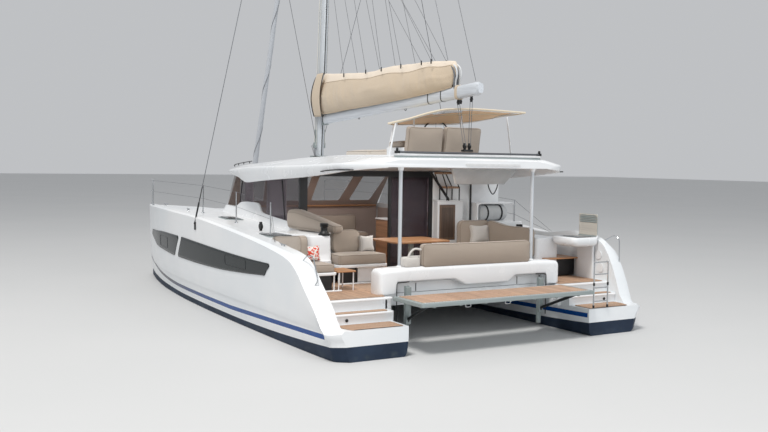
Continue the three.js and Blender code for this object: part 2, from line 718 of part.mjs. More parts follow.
// Sail bag along the boom: x, bottom z offset above the boom, top z, half width
const bagRows = [[640, 5060, 190], [-1000, 4990, 200], [-3000, 4900, 170], [-4450, 4850, 110]];
function boomZ(x) {
  return boom.frontZ + (boom.front - x) / (boom.front - boom.aft) * (boom.aftZ - boom.frontZ);
}
function sailBag() {
  const rings = bagRows.map(([x, top, half]) => {
    const low = boomZ(x) + boom.deep / 2 * Math.sin(0.4 * Math.PI) + gap;
    return [
      [x, -half * 0.7, low], [x, half * 0.7, low], [x, half, low + (top - low) * 0.35],
      [x, half * 0.75, top - 70], [x, 0, top], [x, -half * 0.75, top - 70],
      [x, -half, low + (top - low) * 0.35],
    ];
  });
  return loft(rings);
}
put('sail_bag', sailBag(), 'canvas');

// Furled headsail round the forestay, on its drum above the tack plate
function furledSail() {
  const roll = bar(alongStay(0.02), alongStay(rollEnd), 75, 10, 45);
  const drum = bar(alongStay(drumShare), alongStay(0.03), 110, 14);
  return joined(roll, drum);
}
put('furled_headsail', furledSail(), 'canvas');

// Shrouds from the chainplates on the sheer to the hounds
const chain = { x: 46, y: 3270 };
function shroud() {
  const top = [mastX(houndsZ), 140, houndsZ];
  const foot = between(sheerForward, chain.x + 40) + gap;
  const tang = block(chain.x - 40, chain.x + 40, chain.y - 20, chain.y + 12, foot, foot + 100);
  return joined(tang, bar([chain.x, chain.y - 6, foot + 60], top, 7, 6));
}
put('shroud_port', shroud(), 'steel');
put('shroud_starboard', mirrorY(shroud()), 'steel');

// Cockpit mouldings: coaming and seat bases to port; sofa base, stair tower and cabinet to starboard
const sole = soleTop + gap;
const wellWall = wingInner - gap;
const seatTop = 1200;
function mouldingPort() {
  const coaming = block(-3450, bulkheadX - gap, 1960, 2560, sole, 1700);
  const lounge = block(-3740, -3080, 960, 1970, sole, seatTop);
  const bench = block(-4450, -3440, 2300, wellWall, sole, seatTop - 20);
  const winch = joined(
    bar([-3330, 2400, 1690], [-3330, 2400, 1790], 85, 14, 70),
    bar([-3330, 2400, 1780], [-3330, 2400, 1880], 62, 14, 75),
  );
  return joined(coaming, lounge, bench, winch);
}
put('cockpit_moulding_port', mouldingPort(), 'gelcoat');

const cabinet = { aft: -2400, port: -1010, starboard: -1640, top: 2270 };
const cabinetDoor = { port: -1060, starboard: -1450, low: 1450, high: 2170, thick: 25 };
function mouldingStarboard() {
  const coaming = block(-4350, bulkheadX - gap, -2000, -2560, sole, 1620);
  const sofa = block(-4350, -2760, -1380, -2010, sole, seatTop);
  const sofaEnd = block(-2900, cabinet.aft + 10, -1250, -2010, sole, seatTop);
  const tower = block(-2700, bulkheadX - gap, -1640, -wellWall, sole, 1820);
  const shell = block(cabinet.aft, bulkheadX - gap, cabinet.port, cabinet.starboard - 5, sole, cabinet.top);
  const { port, starboard, low, high } = cabinetDoor;
  const hollow = block(cabinet.aft - 10, -2225, port - 30, starboard + 30, low + 30, high - 30);
  const face = block(cabinet.aft - 10, cabinet.aft + 35, port + gap, starboard - 5, low - 5, high + 5);
  return joined(coaming, sofa, sofaEnd, tower, shell.subtract(hollow).subtract(face), helmSteps());
}
function helmSteps() {
  const outline = [
    [-2395, cabinet.top - 20], [-2250, cabinet.top - 20], [-2330, 2540], [-2600, 2840], [-2900, 2840],
    [-2900, 2760], [-2640, 2500],
  ];
  const cheeks = [[-1070, -1100], [-1550, -1580]].map(([y0, y1]) => plate('y', outline, y0, y1));
  const lower = block(-2620, -2340, -1080, -1570, 2500, 2540);
  const upper = block(-2900, -2640, -1080, -1570, 2800, 2840);
  return joined(...cheeks, lower, upper);
}
put('cockpit_moulding_starboard', mouldingStarboard(), 'gelcoat');

function cabinetLeaf() {
  const { port, starboard, low, high, thick } = cabinetDoor;
  return block(cabinet.aft, cabinet.aft + thick, port, starboard, low, high);
}
put('cabinet_door', cabinetLeaf(), 'wood');

// Cushions, one node for each seating group
function portCushions() {
  const seat = cushion(-3730, -3090, 970, 1940, seatTop + gap, 1360);
  const back = cushion(-3210, -3080, 1330, 1940, 1300, 1830);
  const ledge = cushion(-3260, -2230, 1900, 2230, 1700 + gap, 1830);
  return joined(seat, back, ledge);
}
put('lounge_cushions', portCushions(), 'cushion');
function benchCushions() {
  const seat = cushion(-4440, -3470, 2310, 2900, seatTop - 20 + gap, 1310);
  const back = cushion(-4300, -3460, 2860, wellWall, seatTop - 20 + gap, 1700);
  return joined(seat, back);
}
put('bench_cushions', benchCushions(), 'cushion');
function sofaCushions() {
  const seat = cushion(-4330, -2770, -1900, -1390, seatTop + gap, 1340);
  const side = cushion(-4320, -2770, -1990, -1860, seatTop + gap, 1860);
  const end = cushion(-2890, -2765, -1990, -1260, seatTop + gap, 1880);
  return joined(seat, side, end);
}
put('sofa_cushions', sofaCushions(), 'cushion');
put('aft_bench_back', cushion(-5080, -4950, -1380, 1330, beam.top + gap, 1690), 'cushion');

// Cockpit table on a pedestal
function table() {
  const top = block(-3750, -2750, -450, 780, 1540, 1575);
  const stem = bar([-3250, 160, sole], [-3250, 160, 1550], 55, 12);
  const foot = block(-3420, -3080, -10, 330, sole, sole + 15);
  return joined(top, stem, foot);
}
put('cockpit_table', table(), 'teak');

// Outdoor galley counter on the starboard wing with a hinged grill lid
const lidHinge = { y: -2950, z: 1672 };
const counter = { aft: -5020, front: -4350, inside: -2350, top: 1650 };
function galley() {
  const outline = [[counter.aft, 1480], [counter.front, 1480], [counter.front, counter.top],
    [counter.aft, counter.top]];
  const slab = plate('y', outline, -wellWall, counter.inside);
  const bracket = block(-4900, -4450, -wellWall, -2700, sole, 1490);
  const lugs = [[-5008, -4990.3], [-4479.7, -4462]].map(
    ([x0, x1]) => block(x0, x1, lidHinge.y - 18, lidHinge.y + 18, counter.top - 10, lidHinge.z + 15),
  );
  return joined(slab, bracket, ...lugs);
}
put('galley_counter', galley(), 'gelcoat');
function grillLid() {
  const sheet = block(-4990, -4480, lidHinge.y - 10, lidHinge.y + 10, lidHinge.z, 2095);
  const knuckle = bar([-4990, lidHinge.y, lidHinge.z], [-4480, lidHinge.y, lidHinge.z], 13, 10);
  return joined(sheet, knuckle);
}
put('grill_lid', grillLid(), 'steel');

// Swim ladder, folded up on the starboard transom
function ladder() {
  const sides = [-1960, -2290].map((y) => bar([ladderHinge.x, y, ladderHinge.z], [ladderHinge.x, y, 1330], 14, 8));
  const rungs = [620, 860, 1100, 1320].map((z) => bar([ladderHinge.x, -1960, z], [ladderHinge.x, -2290, z], 13, 8));
  const pin = bar([ladderHinge.x, -1930, ladderHinge.z], [ladderHinge.x, -2320, ladderHinge.z], 13, 8);
  return joined(...sides, ...rungs, pin);
}
put('swim_ladder', ladder(), 'steel');

// Bow pulpit on each hull: two posts, a top tube and a middle tube
function pulpit(side) {
  const foot = (x) => [x, between(hullSections, x) - 60, sheerZ(side, x) - 40];
  const raised = (x, up) => foot(x).map((value, k) => value + (k === 2 ? up : 0));
  const posts = [4700, 5720].map((x) => bar(foot(x), raised(x, 660), 14, 8));
  const tubes = [360, 650].map((up) => bar(raised(4700, up), raised(5720, up), 12, 8));
  return joined(...posts, ...tubes).subtract(hullBody(side).translate([0, 0, gap]));
}
onBothSides('pulpit', pulpit, 'steel');

// Foredeck locker lids on hinges along their front edge
const lidFrontX = 2900;
function lockerLid() {
  const panel = block(2350, lidFrontX, 450, 1300, foredeckZ + 5, foredeckZ + 30);
  const knuckle = bar([lidFrontX, 450, foredeckZ + 12.3], [lidFrontX, 1300, foredeckZ + 12.3], 12, 10);
  return joined(panel, knuckle);
}
put('locker_lid_port', lockerLid(), 'gelcoat');
put('locker_lid_starboard', mirrorY(lockerLid()), 'gelcoat');

// Saloon furniture: a worktop along the starboard side and a settee forward
function furniture() {
  const worktop = block(-1900, 600, -1840, -1250, sole, 1740);
  const settee = block(-200, 1500, -1260, 1500, sole, 1280);
  const back = block(1380, 1560, -1260, 1500, sole, 1700);
  return joined(worktop, settee, back);
}
put('saloon_furniture', furniture(), 'wood');

export default craft;
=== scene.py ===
import bpy
import bmesh
import json
import math
import numpy as np
from mathutils import Matrix, Vector

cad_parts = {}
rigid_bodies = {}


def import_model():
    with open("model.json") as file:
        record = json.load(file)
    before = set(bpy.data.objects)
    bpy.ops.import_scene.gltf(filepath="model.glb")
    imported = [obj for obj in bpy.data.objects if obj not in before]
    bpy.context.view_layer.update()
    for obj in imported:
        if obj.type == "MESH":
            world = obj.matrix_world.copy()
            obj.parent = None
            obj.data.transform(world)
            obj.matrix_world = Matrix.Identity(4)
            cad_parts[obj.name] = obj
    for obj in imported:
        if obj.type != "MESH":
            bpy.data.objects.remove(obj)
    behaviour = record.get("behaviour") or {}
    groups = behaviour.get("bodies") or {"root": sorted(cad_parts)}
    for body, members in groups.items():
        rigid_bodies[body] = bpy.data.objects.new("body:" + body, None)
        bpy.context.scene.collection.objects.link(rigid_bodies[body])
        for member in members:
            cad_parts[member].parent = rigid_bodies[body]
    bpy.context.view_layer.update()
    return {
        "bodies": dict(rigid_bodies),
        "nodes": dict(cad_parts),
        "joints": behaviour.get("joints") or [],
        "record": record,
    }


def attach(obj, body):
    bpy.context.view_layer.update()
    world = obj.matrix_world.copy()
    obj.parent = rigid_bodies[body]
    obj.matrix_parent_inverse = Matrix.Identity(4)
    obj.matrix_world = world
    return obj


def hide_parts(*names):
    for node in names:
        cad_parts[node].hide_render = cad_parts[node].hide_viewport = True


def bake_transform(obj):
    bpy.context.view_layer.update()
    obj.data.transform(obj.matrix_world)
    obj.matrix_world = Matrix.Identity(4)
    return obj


# Sailing catamaran: metres, +X to the bow, +Y to port, z = 0 on the waterline.
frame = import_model()
node = frame["nodes"]
scene = bpy.context.scene

# Camera: a 43 mm lens off the stern's port quarter, almost level
quarterView = dict(place=(-18.009, 9.467, 3.038), yaw=-30.524, pitch=-3.372, roll=0.826, lens=43.0,
    sensor=36.0)


def makeCamera(v):
    # Looks along yaw and pitch, then turns about its own axis by roll
    yaw, pitch, roll = (math.radians(v[k]) for k in ("yaw", "pitch", "roll"))
    ahead = np.array([math.cos(yaw) * math.cos(pitch), math.sin(yaw) * math.cos(pitch), math.sin(pitch)])
    right = np.cross(ahead, [0, 0, 1])
    right /= np.linalg.norm(right)
    up = np.cross(right, ahead)
    turn = np.eye(4)
    turn[:3, 0] = right * math.cos(roll) + up * math.sin(roll)
    turn[:3, 1] = up * math.cos(roll) - right * math.sin(roll)
    turn[:3, 2] = -ahead
    turn[:3, 3] = v["place"]
    data = bpy.data.cameras.new("quarterView")
    data.lens, data.sensor_width, data.clip_end = v["lens"], v["sensor"], 400
    camera = bpy.data.objects.new("quarterView", data)
    scene.collection.objects.link(camera)
    camera.matrix_world = Matrix(turn.tolist())
    scene.camera = camera


makeCamera(quarterView)


# Shapes as arrays of points and lists of faces
def eased(table, x):
    # Cubic through a table's rows, with slopes that never overshoot a row
    t = np.array(sorted(map(tuple, table)), float)
    xs, ys = t[:, 0], t[:, 1:]
    h = np.diff(xs)[:, None]
    d = np.diff(ys, axis=0) / h
    m = np.vstack([d[:1], np.zeros_like(d[1:]), d[-1:]])
    both = d[:-1] * d[1:]
    m[1:-1] = np.where(both > 0, 2 * both / np.where(np.abs(d[:-1] + d[1:]) < 1e-9, 1, d[:-1] + d[1:]), 0)
    x = np.clip(np.atleast_1d(np.asarray(x, float)), xs[0], xs[-1])
    k = np.clip(np.searchsorted(xs, x, side="right") - 1, 0, len(xs) - 2)
    s = ((x - xs[k]) / (xs[k + 1] - xs[k]))[:, None]
    step = (xs[k + 1] - xs[k])[:, None]
    return ((1 + 2 * s) * (1 - s) ** 2 * ys[k] + s * (1 - s) ** 2 * step * m[k] + s * s * (3 - 2 * s)
        * ys[k + 1] + s * s * (s - 1) * step * m[k + 1])


def skin(points, wrapU=False, wrapV=False, capU=False):
    # Quads over a grid of points; capU closes the first and last row with one face each
    points = np.asarray(points, float)
    n, m = points.shape[:2]
    i = np.arange(n if wrapU else n - 1)[:, None]
    j = np.arange(m if wrapV else m - 1)[None, :]
    a = i * m + j
    b = i * m + (j + 1) % m
    c = (i + 1) % n * m + (j + 1) % m
    d = (i + 1) % n * m + j
    faces = np.stack([a, b, c, d], -1).reshape(-1, 4).tolist()
    if capU:
        faces += [list(range(m))[::-1], list(range((n - 1) * m, n * m))]
    return points.reshape(-1, 3), faces


# The two axes an outline lies in and the axis it is carried along
planes = {"x": (1, 2, 0), "y": (0, 2, 1), "z": (0, 1, 2)}


def prism(outline, axis, low, high):
    # A closed outline in the two other axes, carried from low to high along axis
    flat = np.asarray(outline, float)
    count = len(flat)
    place = planes[axis]
    verts = np.zeros((2 * count, 3))
    verts[:, place[0]] = np.tile(flat[:, 0], 2)
    verts[:, place[1]] = np.tile(flat[:, 1], 2)
    verts[:, place[2]] = np.repeat([low, high], count)
    k = np.arange(count)
    sides = np.stack([k, (k + 1) % count, (k + 1) % count + count, k + count], 1).tolist()
    return verts, sides + [list(range(count))[::-1], list(range(count, 2 * count))]


def bent(points, radius, steps=5, closed=False):
    # Rounds each inner corner of a path by a quadratic arc that starts radius away from it
    p = np.asarray(points, float)
    if closed:
        before, after, mid = np.roll(p, 1, 0), np.roll(p, -1, 0), p
    else:
        before, mid, after = p[:-2], p[1:-1], p[2:]
    back, ahead = before - mid, after - mid
    lb, la = np.linalg.norm(back, axis=1), np.linalg.norm(ahead, axis=1)
    reach = np.minimum(radius, np.minimum(lb, la) * 0.48)[:, None]
    start, end = mid + back / lb[:, None] * reach, mid + ahead / la[:, None] * reach
    t = np.linspace(0, 1, steps)[None, :, None]
    arcs = (1 - t) ** 2 * start[:, None] + 2 * t * (1 - t) * mid[:, None] + t * t * end[:, None]
    arcs = arcs.reshape(-1, p.shape[1])
    return arcs if closed else np.vstack([p[:1], arcs, p[-1:]])


def tube(path, radius, sides=10, wrap=False):
    # A circle carried along a path; its plane stays square to the path, its zero mark to the path's own plane
    p = np.asarray(path, float)
    along = np.roll(p, -1, 0) - np.roll(p, 1, 0) if wrap else np.gradient(p, axis=0)
    along /= np.linalg.norm(along, axis=1)[:, None]
    normal = np.linalg.svd(p - p.mean(0))[2][-1]
    side = np.cross(along, normal)
    side /= np.linalg.norm(side, axis=1)[:, None]
    other = np.cross(along, side)
    a = np.linspace(0, 2 * np.pi, sides, endpoint=False)
    r = np.broadcast_to(np.asarray(radius, float), len(p))[:, None, None]
    rings = p[:, None] + r * (np.cos(a)[None, :, None] * side[:, None] + np.sin(a)[None, :, None] * other[:,
        None])
    return skin(rings, wrapU=wrap, wrapV=True, capU=not wrap)


def turned(profile, centre, axis="z", sides=24):
    # A profile of distance along the axis and radius, turned round it
    prof = np.asarray(profile, float)
    a = np.linspace(0, 2 * np.pi, sides, endpoint=False)
    ring = np.stack([np.cos(a), np.sin(a)], -1)
    pts = np.zeros((len(prof), sides, 3))
    order = {"z": (0, 1, 2), "x": (1, 2, 0), "y": (2, 0, 1)}[axis]
    pts[:, :, order[0]] = prof[:, 1:2] * ring[:, 0]
    pts[:, :, order[1]] = prof[:, 1:2] * ring[:, 1]
    pts[:, :, order[2]] = prof[:, :1]
    return skin(pts + np.asarray(centre), wrapV=True, capU=True)


def roundBox(low, high, radius, cut=6, puff=0.0):
    # Six face grids of a box, each point pulled onto the rounded box; puff swells the faces in their middles
    low, high = np.asarray(low, float), np.asarray(high, float)
    half = (high - low) / 2
    radius = min(radius, half.min() * 0.98)
    t = np.linspace(-1, 1, 2 * cut + 1)
    verts, faces = [], []
    for k in range(3):
        for sign in (-1, 1):
            u, v = np.meshgrid(t, t, indexing="ij")
            p = np.zeros(u.shape + (3,))
            p[..., k], p[..., (k + 1) % 3], p[..., (k + 2) % 3] = sign, u, v
            inner = half - radius
            soft = np.sign(p) * (1 - (1 - np.abs(p)) ** 1.6)
            full = soft * half
            core = np.clip(full, -inner, inner)
            out = full - core
            size = np.linalg.norm(out, axis=-1, keepdims=True)
            q = core + out / np.where(size < 1e-9, 1, size) * radius
            swell = puff * np.prod([(1 - p[..., (k + d) % 3] ** 2) for d in (1, 2)], axis=0)
            q[..., k] += sign * swell
            grid = q if sign > 0 else q[::-1]
            pts, quads = skin(grid + (low + high) / 2)
            faces += (np.array(quads) + sum(map(len, verts))).tolist()
            verts.append(pts)
    return np.vstack(verts), faces


def areaOf(grid):
    cells = np.cross(grid[1:, 1:] - grid[:-1, :-1], grid[1:, :-1] - grid[:-1, 1:])
    return float(np.linalg.norm(cells, axis=-1).sum() / 2)


def lengthOf(path):
    return float(np.linalg.norm(np.diff(path, axis=0), axis=1).sum())


def rimOf(grid):
    # The border of a grid, once round
    return np.vstack([grid[0], grid[1:, -1], grid[-1, -2::-1], grid[-2:0:-1, 0]])


def merged(*shapes):
    verts, faces, start = [], [], 0
    for pts, fs in shapes:
        verts.append(np.asarray(pts, float))
        faces += [[start + k for k in f] for f in fs]
        start += len(pts)
    return np.vstack(verts), faces


def mirrored(shape):
    pts, fs = shape
    return np.asarray(pts) * [1, -1, 1], [list(f)[::-1] for f in fs]


def bothSides(*shapes):
    return merged(*shapes, *map(mirrored, shapes))


# Names of the two sides, and what turns a port shape into theirs
sides = (("Port", lambda s: s), ("Starboard", mirrored))


def rounded(outline, axis, low, high, radius=0.03, steps=5):
    # A closed outline with round corners, carried along an axis
    return prism(bent(outline, radius, steps, closed=True), axis, low, high)


def boxOutline(low, high, axis):
    # What prism and rounded need for a box given by two corners
    i, j, k = planes[axis]
    return [(low[i], low[j]), (high[i], low[j]), (high[i], high[j]), (low[i], high[j])], axis, low[k], high[k]


def box(low, high, axis="z"):
    return prism(*boxOutline(low, high, axis))


def tile(low, high, radius=0.03, steps=5, axis="z"):
    # A box whose corners are round when seen along the axis
    return rounded(*boxOutline(low, high, axis), radius, steps)


def lathe(profile, *place):
    # A turned profile whose two ends are closed flat
    return turned([(profile[0][0], 0), *profile, (profile[-1][0], 0)], *place)


def make(name, shape, paint, body="craft", stands=(), bevel=0.0, steps=2, subdivide=0, weld=True, smooth=True,
        wall=0.0, sharp=32):
    # Puts a shape into a mesh, welds it, turns its faces out and finishes its edges
    pts, faces = shape
    mesh = bpy.data.meshes.new(name)
    mesh.from_pydata(np.asarray(pts).tolist(), [], [list(f) for f in faces])
    piece = bpy.data.objects.new(name, mesh)
    scene.collection.objects.link(piece)
    bm = bmesh.new()
    bm.from_mesh(mesh)
    if weld:
        bmesh.ops.remove_doubles(bm, verts=bm.verts, dist=0.0002)
        bmesh.ops.dissolve_degenerate(bm, dist=0.0002, edges=bm.edges)
    bmesh.ops.recalc_face_normals(bm, faces=bm.faces)
    bm.to_mesh(mesh)
    bm.free()
    for one in paint if isinstance(paint, (list, tuple)) else [paint]:
        mesh.materials.append(one)
    if wall:
        shell = piece.modifiers.new("wall", "SOLIDIFY")
        shell.thickness, shell.offset = abs(wall), math.copysign(1, -wall)
    if bevel:
        edge = piece.modifiers.new("edges", "BEVEL")
        edge.width, edge.segments, edge.limit_method = bevel, steps, "ANGLE"
        edge.angle_limit = math.radians(sharp)
        edge.harden_normals = False
    if subdivide:
        sub = piece.modifiers.new("round", "SUBSURF")
        sub.levels = sub.render_levels = subdivide
    if smooth:
        mesh.shade_smooth()
        if bevel:
            piece.modifiers.new("shading", "WEIGHTED_NORMAL").keep_sharp = True
        else:
            mesh.set_sharp_from_angle(angle=math.radians(sharp))
    if body:  # a piece that blends across a joint rides on nothing here
        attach(piece, body)
    if stands:
        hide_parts(*([stands] if isinstance(stands, str) else stands))
    return piece


def applyModifiers(piece):
    # The evaluated mesh takes the place of the piece's own
    done = bpy.data.meshes.new_from_object(piece.evaluated_get(bpy.context.evaluated_depsgraph_get()))
    piece.modifiers.clear()
    piece.data = done


def carve(piece, holes):
    # Cuts closed shapes out of a piece
    cutter = make("cutter", holes, paint["gelcoat"], smooth=False)
    cut = piece.modifiers.new("holes", "BOOLEAN")
    cut.object, cut.solver, cut.operation, cut.use_self = cutter, "EXACT", "DIFFERENCE", True
    applyModifiers(piece)
    bpy.data.objects.remove(cutter)


# Finishes
class Value:
    # One shader socket that can be used in sums
    def __init__(self, finish, out):
        self.finish, self.out = finish, out

    def sum(self, kind, *others):
        return self.finish.add("ShaderNodeMath", {"operation": kind}, dict(enumerate((self, *others))))

    def __add__(self, o): return self.sum("ADD", o)
    def __radd__(self, o): return self.sum("ADD", o)
    def __sub__(self, o): return self.sum("SUBTRACT", o)
    def __rsub__(self, o): return (self * -1.0) + o
    def __mul__(self, o): return self.sum("MULTIPLY", o)
    def __rmul__(self, o): return self.sum("MULTIPLY", o)
    def __truediv__(self, o): return self.sum("DIVIDE", o)
    def __gt__(self, o): return self.sum("GREATER_THAN", o)
    def __lt__(self, o): return self.sum("LESS_THAN", o)
    def floor(self): return self.sum("FLOOR")
    def fract(self): return self.sum("FRACT")
    def absolute(self): return self.sum("ABSOLUTE")
    def sine(self): return self.sum("SINE")
    def most(self, o): return self.sum("MAXIMUM", o)
    def least(self, o): return self.sum("MINIMUM", o)

    def rise(self, low, high, kind="SMOOTHSTEP"):
        # 0 below low, 1 above high, eased between them; low may be the larger one
        flip = low > high
        low, high = min(low, high), max(low, high)
        value = self.finish.add("ShaderNodeMapRange", {"interpolation_type": kind},
            {"Value": self, "From Min": low, "From Max": high})
        return 1 - value if flip else value


class Finish:
    # A material on one Principled shader
    def __init__(self, name, colour, rough, metal=0.0, **fixed):
        self.material = bpy.data.materials.new(name)
        self.material.use_nodes = True
        self.tree = self.material.node_tree
        self.shader = self.tree.nodes["Principled BSDF"]
        self.set("Base Color", (*colour, 1.0))
        self.set("Roughness", rough)
        self.set("Metallic", metal)
        for key, value in fixed.items():
            self.set({"coat": "Coat Weight", "coatRough": "Coat Roughness", "sheen": "Sheen Weight",
                "alpha": "Alpha", "shine": "Specular IOR Level"}[key], value)

    def set(self, socket, value):
        place = self.shader.inputs[socket]
        if isinstance(value, Value):
            self.tree.links.new(value.out, place)
        else:
            place.default_value = value

    def add(self, kind, settings=None, sockets=None, out=0):
        made = self.tree.nodes.new(kind)
        for key, value in (settings or {}).items():
            if key == "stops":
                ramp = made.color_ramp
                for k, (at, colour) in enumerate(value):
                    stop = ramp.elements[k] if k < 2 else ramp.elements.new(at)
                    stop.position, stop.color = at, (*colour, 1.0)
            else:
                setattr(made, key, value)
        for key, value in (sockets or {}).items():
            if isinstance(value, Value):
                self.tree.links.new(value.out, made.inputs[key])
            elif value is not None:
                made.inputs[key].default_value = value
        return Value(self, made.outputs[out])

    def place(self):
        return self.add("ShaderNodeTexCoord", out="Object")

    def axes(self):
        split = self.tree.nodes.new("ShaderNodeSeparateXYZ")
        self.tree.links.new(self.place().out, split.inputs[0])
        return [Value(self, split.outputs[k]) for k in range(3)]

    def stretched(self, scale, turn=(0, 0, 0)):
        return self.add("ShaderNodeMapping", {}, {"Vector": self.place(), "Scale": scale, "Rotation": turn})

    def noise(self, scale, detail=3.0, where=None, rough=0.55):
        return self.add("ShaderNodeTexNoise", {"noise_dimensions": "3D"}, {"Vector": where or self.place(),
            "Scale": scale, "Detail": detail, "Roughness": rough})

    def mix(self, share, one, two):
        # Colours or links of colours, mixed by a share
        made = self.tree.nodes.new("ShaderNodeMix")
        made.data_type = "RGBA"
        for key, value in ((0, share), (6, one), (7, two)):
            if isinstance(value, Value):
                self.tree.links.new(value.out, made.inputs[key])
            else:
                made.inputs[key].default_value = (*value, 1.0) if key else value
        return Value(self, made.outputs[2])

    def bump(self, height, depth=0.001, strength=0.6):
        self.set("Normal", self.add("ShaderNodeBump", {}, {"Height": height, "Distance": depth,
            "Strength": strength}))


def linear(r, g, b):
    # From 0-255 screen colour to the shader's linear values
    c = np.array([r, g, b]) / 255
    return tuple(np.where(c <= 0.04045, c / 12.92, ((c + 0.055) / 1.055) ** 2.4).tolist())


white = linear(238, 240, 242)


def whiteGelcoat():
    f = Finish("whiteGelcoat", white, 0.2, coat=0.35, coatRough=0.06)
    cloud = f.noise(0.7, 3)
    f.set("Base Color", f.mix(cloud.rise(0.3, 0.75), linear(233, 236, 239), linear(243, 244, 245)))
    f.set("Roughness", 0.2 + f.noise(3.0, 4) * 0.12)
    f.bump(f.noise(260, 2), 0.0004, 0.06)  # faint orange peel
    return f.material


def hullPaint():
    # White topsides; a stripe and the bottom paint follow the sheer of the waterline
    f = Finish("hullPaint", white, 0.2, shine=0.22)
    x, y, z = f.axes()
    aft = (x * -1.0 - 1.8).most(0.0)
    fore = (x - 1.6).most(0.0)
    line = 0.108 + aft * aft * 0.0075 + fore * 0.012
    stripeLow = 0.222 + aft * 0.026 + fore * fore * 0.021
    inStripe = (z > stripeLow) * (z < stripeLow + 0.08) * (x > -5.66).most((y.absolute() < 2.3) * (x > -5.93))
    cloud = f.noise(0.5, 3)
    body = f.mix(cloud.rise(0.3, 0.75), linear(231, 235, 238), linear(242, 243, 244))
    streak = f.noise(2.2, 4, where=f.stretched((9, 9, 0.8))).rise(0.56, 0.8) * z.rise(0.55, 0.12)
    body = f.mix(streak * 0.16, body, linear(176, 170, 150))
    # The stripe is one blue, painted darker and duller toward the bow: painted shade.
    stripeBlueShadedForward = f.mix(x.rise(3.2, -1.5), linear(20, 30, 56), linear(6, 70, 142))
    body = f.mix(inStripe, body, stripeBlueShadedForward)
    scum = f.noise(5, 4).rise(0.45, 0.75) * z.rise(-0.02, 0.05) * z.rise(0.13, 0.06)
    bottom = f.mix(f.noise(1.5, 4).rise(0.35, 0.7), linear(36, 48, 66), linear(46, 60, 80))
    bottom = f.mix(scum * 0.4, bottom, linear(84, 92, 92))
    painted = z < line
    f.set("Base Color", f.mix(painted, body, bottom))
    f.set("Roughness", painted * 0.42 + 0.17 + f.noise(2.5, 3) * 0.08)
    f.bump(f.noise(1.1, 2) * 1.0 + f.noise(220, 2) * 0.03, 0.004, 0.25)
    return f.material


def deckGrip():
    # Moulded non-slip: fine diamonds pressed into satin white
    f = Finish("deckGrip", white, 0.5)
    x, y, _ = f.axes()
    a = ((x + y) * 260.0).sine().absolute()
    b = ((x - y) * 260.0).sine().absolute()
    f.set("Base Color", f.mix(f.noise(1.4, 4).rise(0.3, 0.75), linear(222, 225, 227), linear(234, 236, 237)))
    f.set("Roughness", 0.45 + f.noise(6, 3) * 0.2)
    f.bump(a.least(b), 0.0012, 0.6)
    return f.material


def teakDeck(name, along="x", width=0.052, tone=(184, 150, 124)):
    # Planks with dark caulking; each plank has its own shade and a stretched grain
    f = Finish(name, linear(*tone), 0.62)
    x, y, _ = f.axes()
    run, across = (x, y) if along == "x" else (y, x)
    count = across / width
    plank = count.floor()
    edge = (count.fract() - 0.5).absolute()
    shade = f.add("ShaderNodeTexWhiteNoise", {"noise_dimensions": "2D"}, {
        "Vector": f.add("ShaderNodeCombineXYZ", {}, {0: plank, 1: (run / 2.3 + plank * 0.37).floor()})})
    scale = (3, 90, 3) if along == "x" else (90, 3, 3)
    grain = f.noise(1.0, 5, where=f.stretched(scale))
    light = tuple(v * 1.16 for v in linear(*tone))
    dark = tuple(v * 0.72 for v in linear(*tone))
    wood = f.mix(shade * 0.55 + grain * 0.6 - 0.1, dark, light)
    wood = f.mix(f.noise(1.1, 4).rise(0.45, 0.8) * 0.35, wood, linear(190, 176, 160))  # silvered patches
    butt = ((run / 2.3 + plank * 0.37).fract() - 0.5).absolute() > 0.4985
    seam = (edge > 0.455).most(butt)
    f.set("Base Color", f.mix(seam, wood, linear(62, 54, 48)))
    f.set("Roughness", 0.72 - seam * 0.25 + grain * 0.1)
    f.bump(grain * 0.3 - seam * 1.0, 0.0015, 0.7)
    return f.material


def wovenFabric(name, tone, weave=900.0, contrast=0.07, sheen=0.35):
    # Two sets of threads over and under, with a slow change of shade
    f = Finish(name, linear(*tone), 0.85, sheen=sheen)
    x, y, z = f.axes()
    warp = ((x + z * 0.7) * weave).sine().absolute()
    weft = ((y + z * 0.7) * weave).sine().absolute()
    thread = warp * 0.5 + weft * 0.5
    light = tuple(min(1, v * (1 + contrast)) for v in linear(*tone))
    dark = tuple(v * (1 - contrast * 1.6) for v in linear(*tone))
    cloud = f.noise(2.5, 4)
    f.set("Base Color", f.mix(thread * 0.5 + cloud * 0.6, dark, light))
    f.set("Roughness", 0.78 + cloud * 0.15)
    f.bump(thread + f.noise(18, 3) * 3.0, 0.0016, 0.45)
    return f.material


def brushedMetal(name, tone, rough, along="z", metal=1.0):
    f = Finish(name, linear(*tone), rough, metal)
    scale = {"x": (2, 60, 60), "y": (60, 2, 60), "z": (60, 60, 2)}[along]
    lines = f.noise(1.0, 4, where=f.stretched(scale))
    f.set("Base Color", f.mix(lines.rise(0.3, 0.7), tuple(v * 0.86 for v in linear(*tone)), linear(*tone)))
    f.set("Roughness", rough + lines * 0.12)
    f.bump(lines, 0.0003, 0.3)
    return f.material


def plainPlastic(name, tone, rough, grain=400):
    f = Finish(name, linear(*tone), rough)
    f.set("Roughness", rough + f.noise(9, 4) * 0.15)
    f.set("Base Color", f.mix(f.noise(4, 4).rise(0.3, 0.8), tuple(v * 0.85 for v in linear(*tone)),
        linear(*tone)))
    f.bump(f.noise(grain, 2), 0.0004, 0.4)
    return f.material


def glassFinish(name, tone, alpha, rough=0.03, shine=0.4):
    f = Finish(name, linear(*tone), rough, shine=shine, alpha=alpha)
    f.set("Roughness", rough + f.noise(1.5, 4).rise(0.4, 0.8) * 0.05)
    f.set("Base Color", f.mix(f.noise(0.8, 2), tuple(v * 0.85 for v in linear(*tone)), linear(*tone)))
    return f.material


